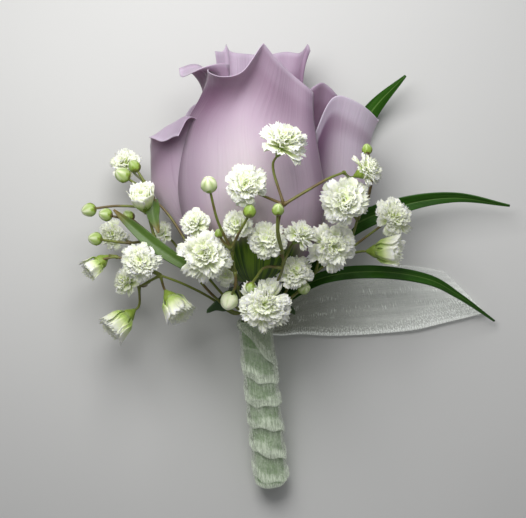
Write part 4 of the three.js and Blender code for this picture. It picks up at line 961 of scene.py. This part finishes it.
SPRAYS = {
    "spray_middle": dict(
        angle=-18,
        stems=[[[-3.6, -11.4, 19.5], [-5.6, -6, 26.5], [-6, -2.6, 31], [-6.8, 2.1, 35.5]],
               [3, [-9.5, 8, 39.8], [-11, 14.2, 43.2]],
               [3, [-4.6, 6.2, 40.6], [-3, 9, 42.6]],
               [2, [-5.9, -5.6, 30.4], [-7, -8.2, 28]],
               [3, [-8.4, 3.6, 35.8], [-9.2, 5, 36.2]],
               [2, [-7, -0.6, 31.6], [-7.2, 0.4, 31.8]]],
        buds=[[[-11.2, 15.4, 43.6], 1.85, 0.75], [[-2.8, 9.9, 43], 1.45, 0],
              [[-7.3, -9, 27.4], 2.1, 1.25], [[-9.3, 5.4, 36.4], 1, 0.1], [[-7.2, 0.8, 32], 1, 0.1]],
        florets={"left_large": 2, "left_behind": 2, "middle_pale": [-6.6, 1, 34.5],
                 "front_left": [-5.4, -6.4, 26]}),
    "spray_centre": dict(
        angle=18,
        stems=[[[-0.3, -11.6, 18.6], [1.6, -7.4, 23.4], [3.3, -4.4, 28.4], [4.2, -1.9, 32.4],
                [4.1, 1.4, 36.2], [3.2, 6, 39.8], [3.4, 8.4, 41], [4.3, 11.3, 42]],
               [4, [3, 5.2, 41], [3, 9.2, 43.6]],
               [7, [9.3, 14.3, 42.2], [13.7, 16.8, 41.2], [17, 18.2, 38]],
               [3, [0.4, -1.8, 32], [-1.6, -4.2, 30.6], [-2.5, -5.4, 30.4]]],
        buds=[[[3.1, 10.2, 44.2], 1.35, 0.25], [[-2.7, -6, 30.4], 1.2, 0.35]],
        florets={"top": 7, "upper_middle": 7, "right_side": 12, "middle": [4.1, 0.6, 35.2],
                 "middle_side": [4.2, -1.2, 33.2], "front": 0}),
    "spray_front": dict(
        angle=54,
        stems=[[[1, -12.6, 17.4], [3.6, -10, 20]],
               [1, [6.4, -8.2, 22.6], [8.6, -6.6, 25]]],
        buds=[[[8.9, -6.3, 25.8], 1.5, 0.45]],
        florets={"lower_middle": 1}),
    "spray_right": dict(
        angle=90,
        stems=[[[2, -12, 14.6], [6.6, -8.4, 17.4], [11.6, -3, 19.4], [17, 0.6, 20.4]],
               [3, [19.5, 5, 23.6], [20.4, 8.6, 28]],
               [5, [22.8, 13.6, 28.8], [23.4, 19, 30.4], [22.4, 22.6, 32.6]]],
        buds=[[[22.2, 23.4, 33], 1.2, 0.1]],
        florets={"right_large": 2, "right_high": 5, "right_far": 3, "right_bell": 3}),
    "spray_upper_left": dict(
        angle=-54,
        stems=[[[-5.4, -11.2, 17.4], [-9.6, -7, 21.4], [-13.8, -1.6, 23.6], [-17.9, 5.5, 22.6],
                [-21, 10, 21], [-24.3, 13.4, 19.6]],
               [5, [-27.2, 15.9, 18.4], [-30.2, 18, 18.6]],
               [5, [-26.4, 17.2, 17.6], [-28.2, 20, 17]]],
        buds=[[[-31.1, 18.6, 18.8], 1.8, 0.5], [[-28.6, 20.6, 17], 1.45, 0.2]],
        florets={"left_top": 8, "left_bell": 5},
        leaves=[dict(spine=[[-24.2, 13.3, 19.8], [-24.2, 9.8, 20.8], [-23, 5.8, 21.2]], width=2.6,
                     fold=0.3)]),
    "spray_left": dict(
        angle=-90,
        stems=[[[-6.6, -11.8, 14.2], [-11.6, -7.6, 18], [-16.3, -2, 20.4], [-20, 1.6, 20],
                [-24, 4.6, 19.2], [-27, 6.9, 18.8], [-31, 8.9, 18.6], [-33.8, 9.6, 18.8]],
               [4, [-25, 8, 17.8], [-25.9, 10.9, 17.4], [-32, 11.8, 17.4], [-37.6, 11.2, 18]],
               [4, [-27.4, 7.4, 16.6], [-29.4, 9, 15.2]],
               [4, [-29.6, 3.6, 15.4], [-34, 4, 16], [-36.4, 4.4, 16.8]]],
        buds=[[[-34.8, 9.8, 19], 1.55, 0.4], [[-38.6, 10.9, 18], 1.65, 0.5],
              [[-30, 9.6, 15], 1.35, 0.3], [[-37.3, 4.5, 17], 1.6, 0.4]],
        florets={"left_low": 14, "left_small": 2},
        leaves=[dict(spine=[[-16, -2.2, 21], [-24, 3.2, 20.6], [-29.5, 7.8, 19.6], [-33, 10.9, 20]],
                     width=2.6, fold=0.35)]),
    "spray_lower_left": dict(
        angle=-126,
        stems=[[[-6.6, -12.4, 10.4], [-12, -8.6, 13.6], [-18, -5.4, 18], [-22.7, -3.6, 19.6]],
               [3, [-28, -1.4, 17.4], [-32.5, 0.4, 17.2], [-36.2, -0.2, 17.2]],
               [3, [-25.4, -5, 18], [-27.6, -6.2, 16.6]]],
        florets={"left_middle": 3, "half_open": 5, "near_bell": 3, "left_under": 7, "low_bell": 8}),
}


def stem(skin, route, thin=1.0):
    """Adds a stem that swells where it starts and narrows a little towards its end."""
    path = curve(route, 0.7)
    swelling = 0.55 * exp(-((np.linalg.norm(path - path[0], axis=1) / 0.8) ** 2))
    tube(skin, path, STEM_RADIUS * thin * (linspace(1, 0.78, len(path)) + swelling))


def bud(skin, middle, radius, way, ripe):
    """Adds a bud: a globe with a blunt tip and five lobes, held in a calyx with five teeth, which
    reaches less far up a ripe one. The value bud runs from 0.1 at its foot to 1 at the tip of a ripe
    one, is lower in the seams, and is 0 on the calyx."""
    share = linspace(0.02, 0.985, 26)
    lobes = cos(5 * ring_angles(20))
    height = -cos(pi * share) * radius * (1 + 0.12 * smooth(share, 0.6, 1))
    share = share[:, None]
    seams = (0.5 - 0.5 * lobes) * smooth(share, 0.35, 0.75)
    teeth = 0.56 - 0.26 * ripe + 0.13 * lobes
    held = smooth(share, teeth + 0.02, teeth - 0.02)
    colour = (0.1 + 0.9 * share * (0.35 + 0.65 * ripe) * (1 - 0.5 * seams)) * (1 - held)
    shape = radius * (0.93 * sin(pi * share) * (1 - 0.07 * seams) + 0.05 * held)
    turned(skin, np.array(middle), way, height, shape, bud=colour)


def cup(skin, foot, way, size):
    """Adds a floret's calyx: a bell of five joined sepals round the foot of its petals."""
    share = linspace(0, 1, 12)
    height = -(GAP + CALYX_LENGTH) + (CALYX_LENGTH + 0.9 * size) * share
    share = share[:, None]
    shape = size * (0.34 + 0.98 * smooth(share, -0.1, 0.7)) * (1 + 0.09 * cos(5 * ring_angles(20)) * share)
    turned(skin, foot, way, height, shape, bud=0.06)


def spray(name, finish, angle, stems, florets, buds=(), leaves=()):
    """A spray: its stalk in the tape, its stems, buds and small leaves, and the stem and calyx of each
    of its florets, which sags from where it branches off and runs straight into the calyx."""
    skin = Skin()
    low, high, free = bound_stalk(angle)
    tube(skin, np.array([low, high]), STALK_RADIUS)
    points, ends = [], []
    for route in stems:
        points += [place for place in route if not isinstance(place, int)]
        route = [points[place] if isinstance(place, int) else place for place in route]
        stem(skin, route if ends else [high, free, *route])
        ends.append(route[-1])
    for middle, radius, ripe in buds:
        nearest = ends[np.linalg.norm(np.array(ends) - middle, axis=1).argmin()]
        way = unit(unit(np.subtract(middle, nearest)) + BUD_LIFT * (0.3 + ripe))
        bud(skin, middle, radius, way, ripe)
    for which, start in florets.items():
        start = points[start] if isinstance(start, int) else start
        foot, way = floret_foot(*FLORETS[which])
        heel = foot - way * (GAP + CALYX_LENGTH * 0.8)
        sag = min(STEM_SAG["most"], STEM_SAG["share"] * np.linalg.norm(heel - start))
        stem(skin, [start, heel - way * sag, heel], 0.92)
        cup(skin, foot, way, 1.15 if FLORETS[which][0] == "bell" else 1.0)
    for facts in leaves:
        leaf_blade(skin, **facts, thickness=BRACT_THICKNESS, leaf=1)
    skin.mesh(name + "_stems", finish, name, slot="spray_green")


def spray_finish():
    """Olive stems with a purple-brown flush, pale green-white buds in greener calyxes, and small leaves
    that are striped and brownish at the tip."""
    made = Finish("spray_green")
    across, up = made.across_and_along()
    ripe, leafy, where = made.value("bud"), made.value("leaf"), made.place()
    broad, fine = made.noise(where, 160.0), made.noise(where, 1400.0, 3.0, 0.6)
    stripes = made.grain(across * 22.0, up * 2.0)
    bract = made.coats(
        rgb(76, 106, 38), (up.spread(0.62, 1.0), rgb(128, 104, 60)),
        (stripes.spread(0.45, 0.7) * 0.4, rgb(122, 150, 72)))
    colour = made.coats(
        rgb(100, 112, 42), (broad, rgb(136, 144, 70)),
        (broad.spread(0.48, 0.6) * 0.75, rgb(98, 68, 48)),
        (ripe.spread(0.01, 0.05), made.blend(fine, rgb(108, 136, 40), rgb(156, 178, 78))),
        (ripe.spread(0.08, 0.14),
         made.blend(ripe.spread(0.2, 0.75), rgb(146, 176, 70), rgb(244, 249, 216))),
        (leafy, bract))
    return made.close(
        Base_Color=colour, Roughness=0.45, Normal=made.bump(fine, 0.0001, 0.5), Subsurface_Weight=0.15,
        Subsurface_Radius=(0.001, 0.0014, 0.0006), Subsurface_Scale=0.5, Specular_IOR_Level=0.45)


# Stage

def floor_finish():
    made = Finish("table")
    cloudy = made.noise(made.place(), 9.0, 3.0)
    colour = made.blend(cloudy, rgb(208, 208, 207), rgb(218, 218, 217))
    return made.close(Base_Color=colour, Roughness=0.75, Specular_IOR_Level=0.2)


def stage():
    bpy.ops.mesh.primitive_plane_add(size=TABLE_SIZE)
    table = bpy.context.object
    table.name = "table"
    table.data.materials.append(floor_finish())


def lamp(name, place, size, power, colour):
    """A square lamp that points at the origin."""
    light = bpy.data.lights.new(name, "AREA")
    light.size, light.energy, light.color = size, power, colour
    holder = bpy.data.objects.new(name, light)
    bpy.context.scene.collection.objects.link(holder)
    holder.location = place
    holder.rotation_euler = (-Vector(place)).to_track_quat("-Z", "Y").to_euler()


def room_light():
    world = bpy.data.worlds.new("room")
    bpy.context.scene.world = world
    world.use_nodes = True
    background = world.node_tree.nodes["Background"]
    background.inputs["Color"].default_value = ROOM_COLOUR
    background.inputs["Strength"].default_value = ROOM_STRENGTH


def camera():
    lens = bpy.data.cameras.new("camera")
    lens.sensor_width = SENSOR_WIDTH
    lens.lens = SENSOR_WIDTH * CAMERA_HEIGHT / (PICTURE_WIDTH * TABLE_MM_PER_PIXEL)
    holder = bpy.data.objects.new("camera", lens)
    holder.location = (np.array([0, 0, CAMERA_HEIGHT]) - OUTLINE_MIDDLE) / METRE
    bpy.context.scene.collection.objects.link(holder)
    bpy.context.scene.camera = holder


camera()
for lamp_name, facts in LAMPS.items():
    lamp(lamp_name, **facts)
room_light()
stage()
rose_bloom(petal_finish())
rose_calyx(hip_finish())
floral_tape(tape_finish())
organza = organza_finish()
ribbon_wrap(organza)
ribbon_tail(organza)
green_leaf = leaf_finish()
for leaf_name, facts in LEAVES.items():
    leaf(leaf_name, green_leaf, **facts)
white = floret_finish()
for number, floret_name in enumerate(FLORETS):
    floret(floret_name, white, number + 3)
olive = spray_finish()
for spray_name, facts in SPRAYS.items():
    spray(spray_name, olive, **facts)
bpy.context.scene.view_settings.view_transform = "Standard"
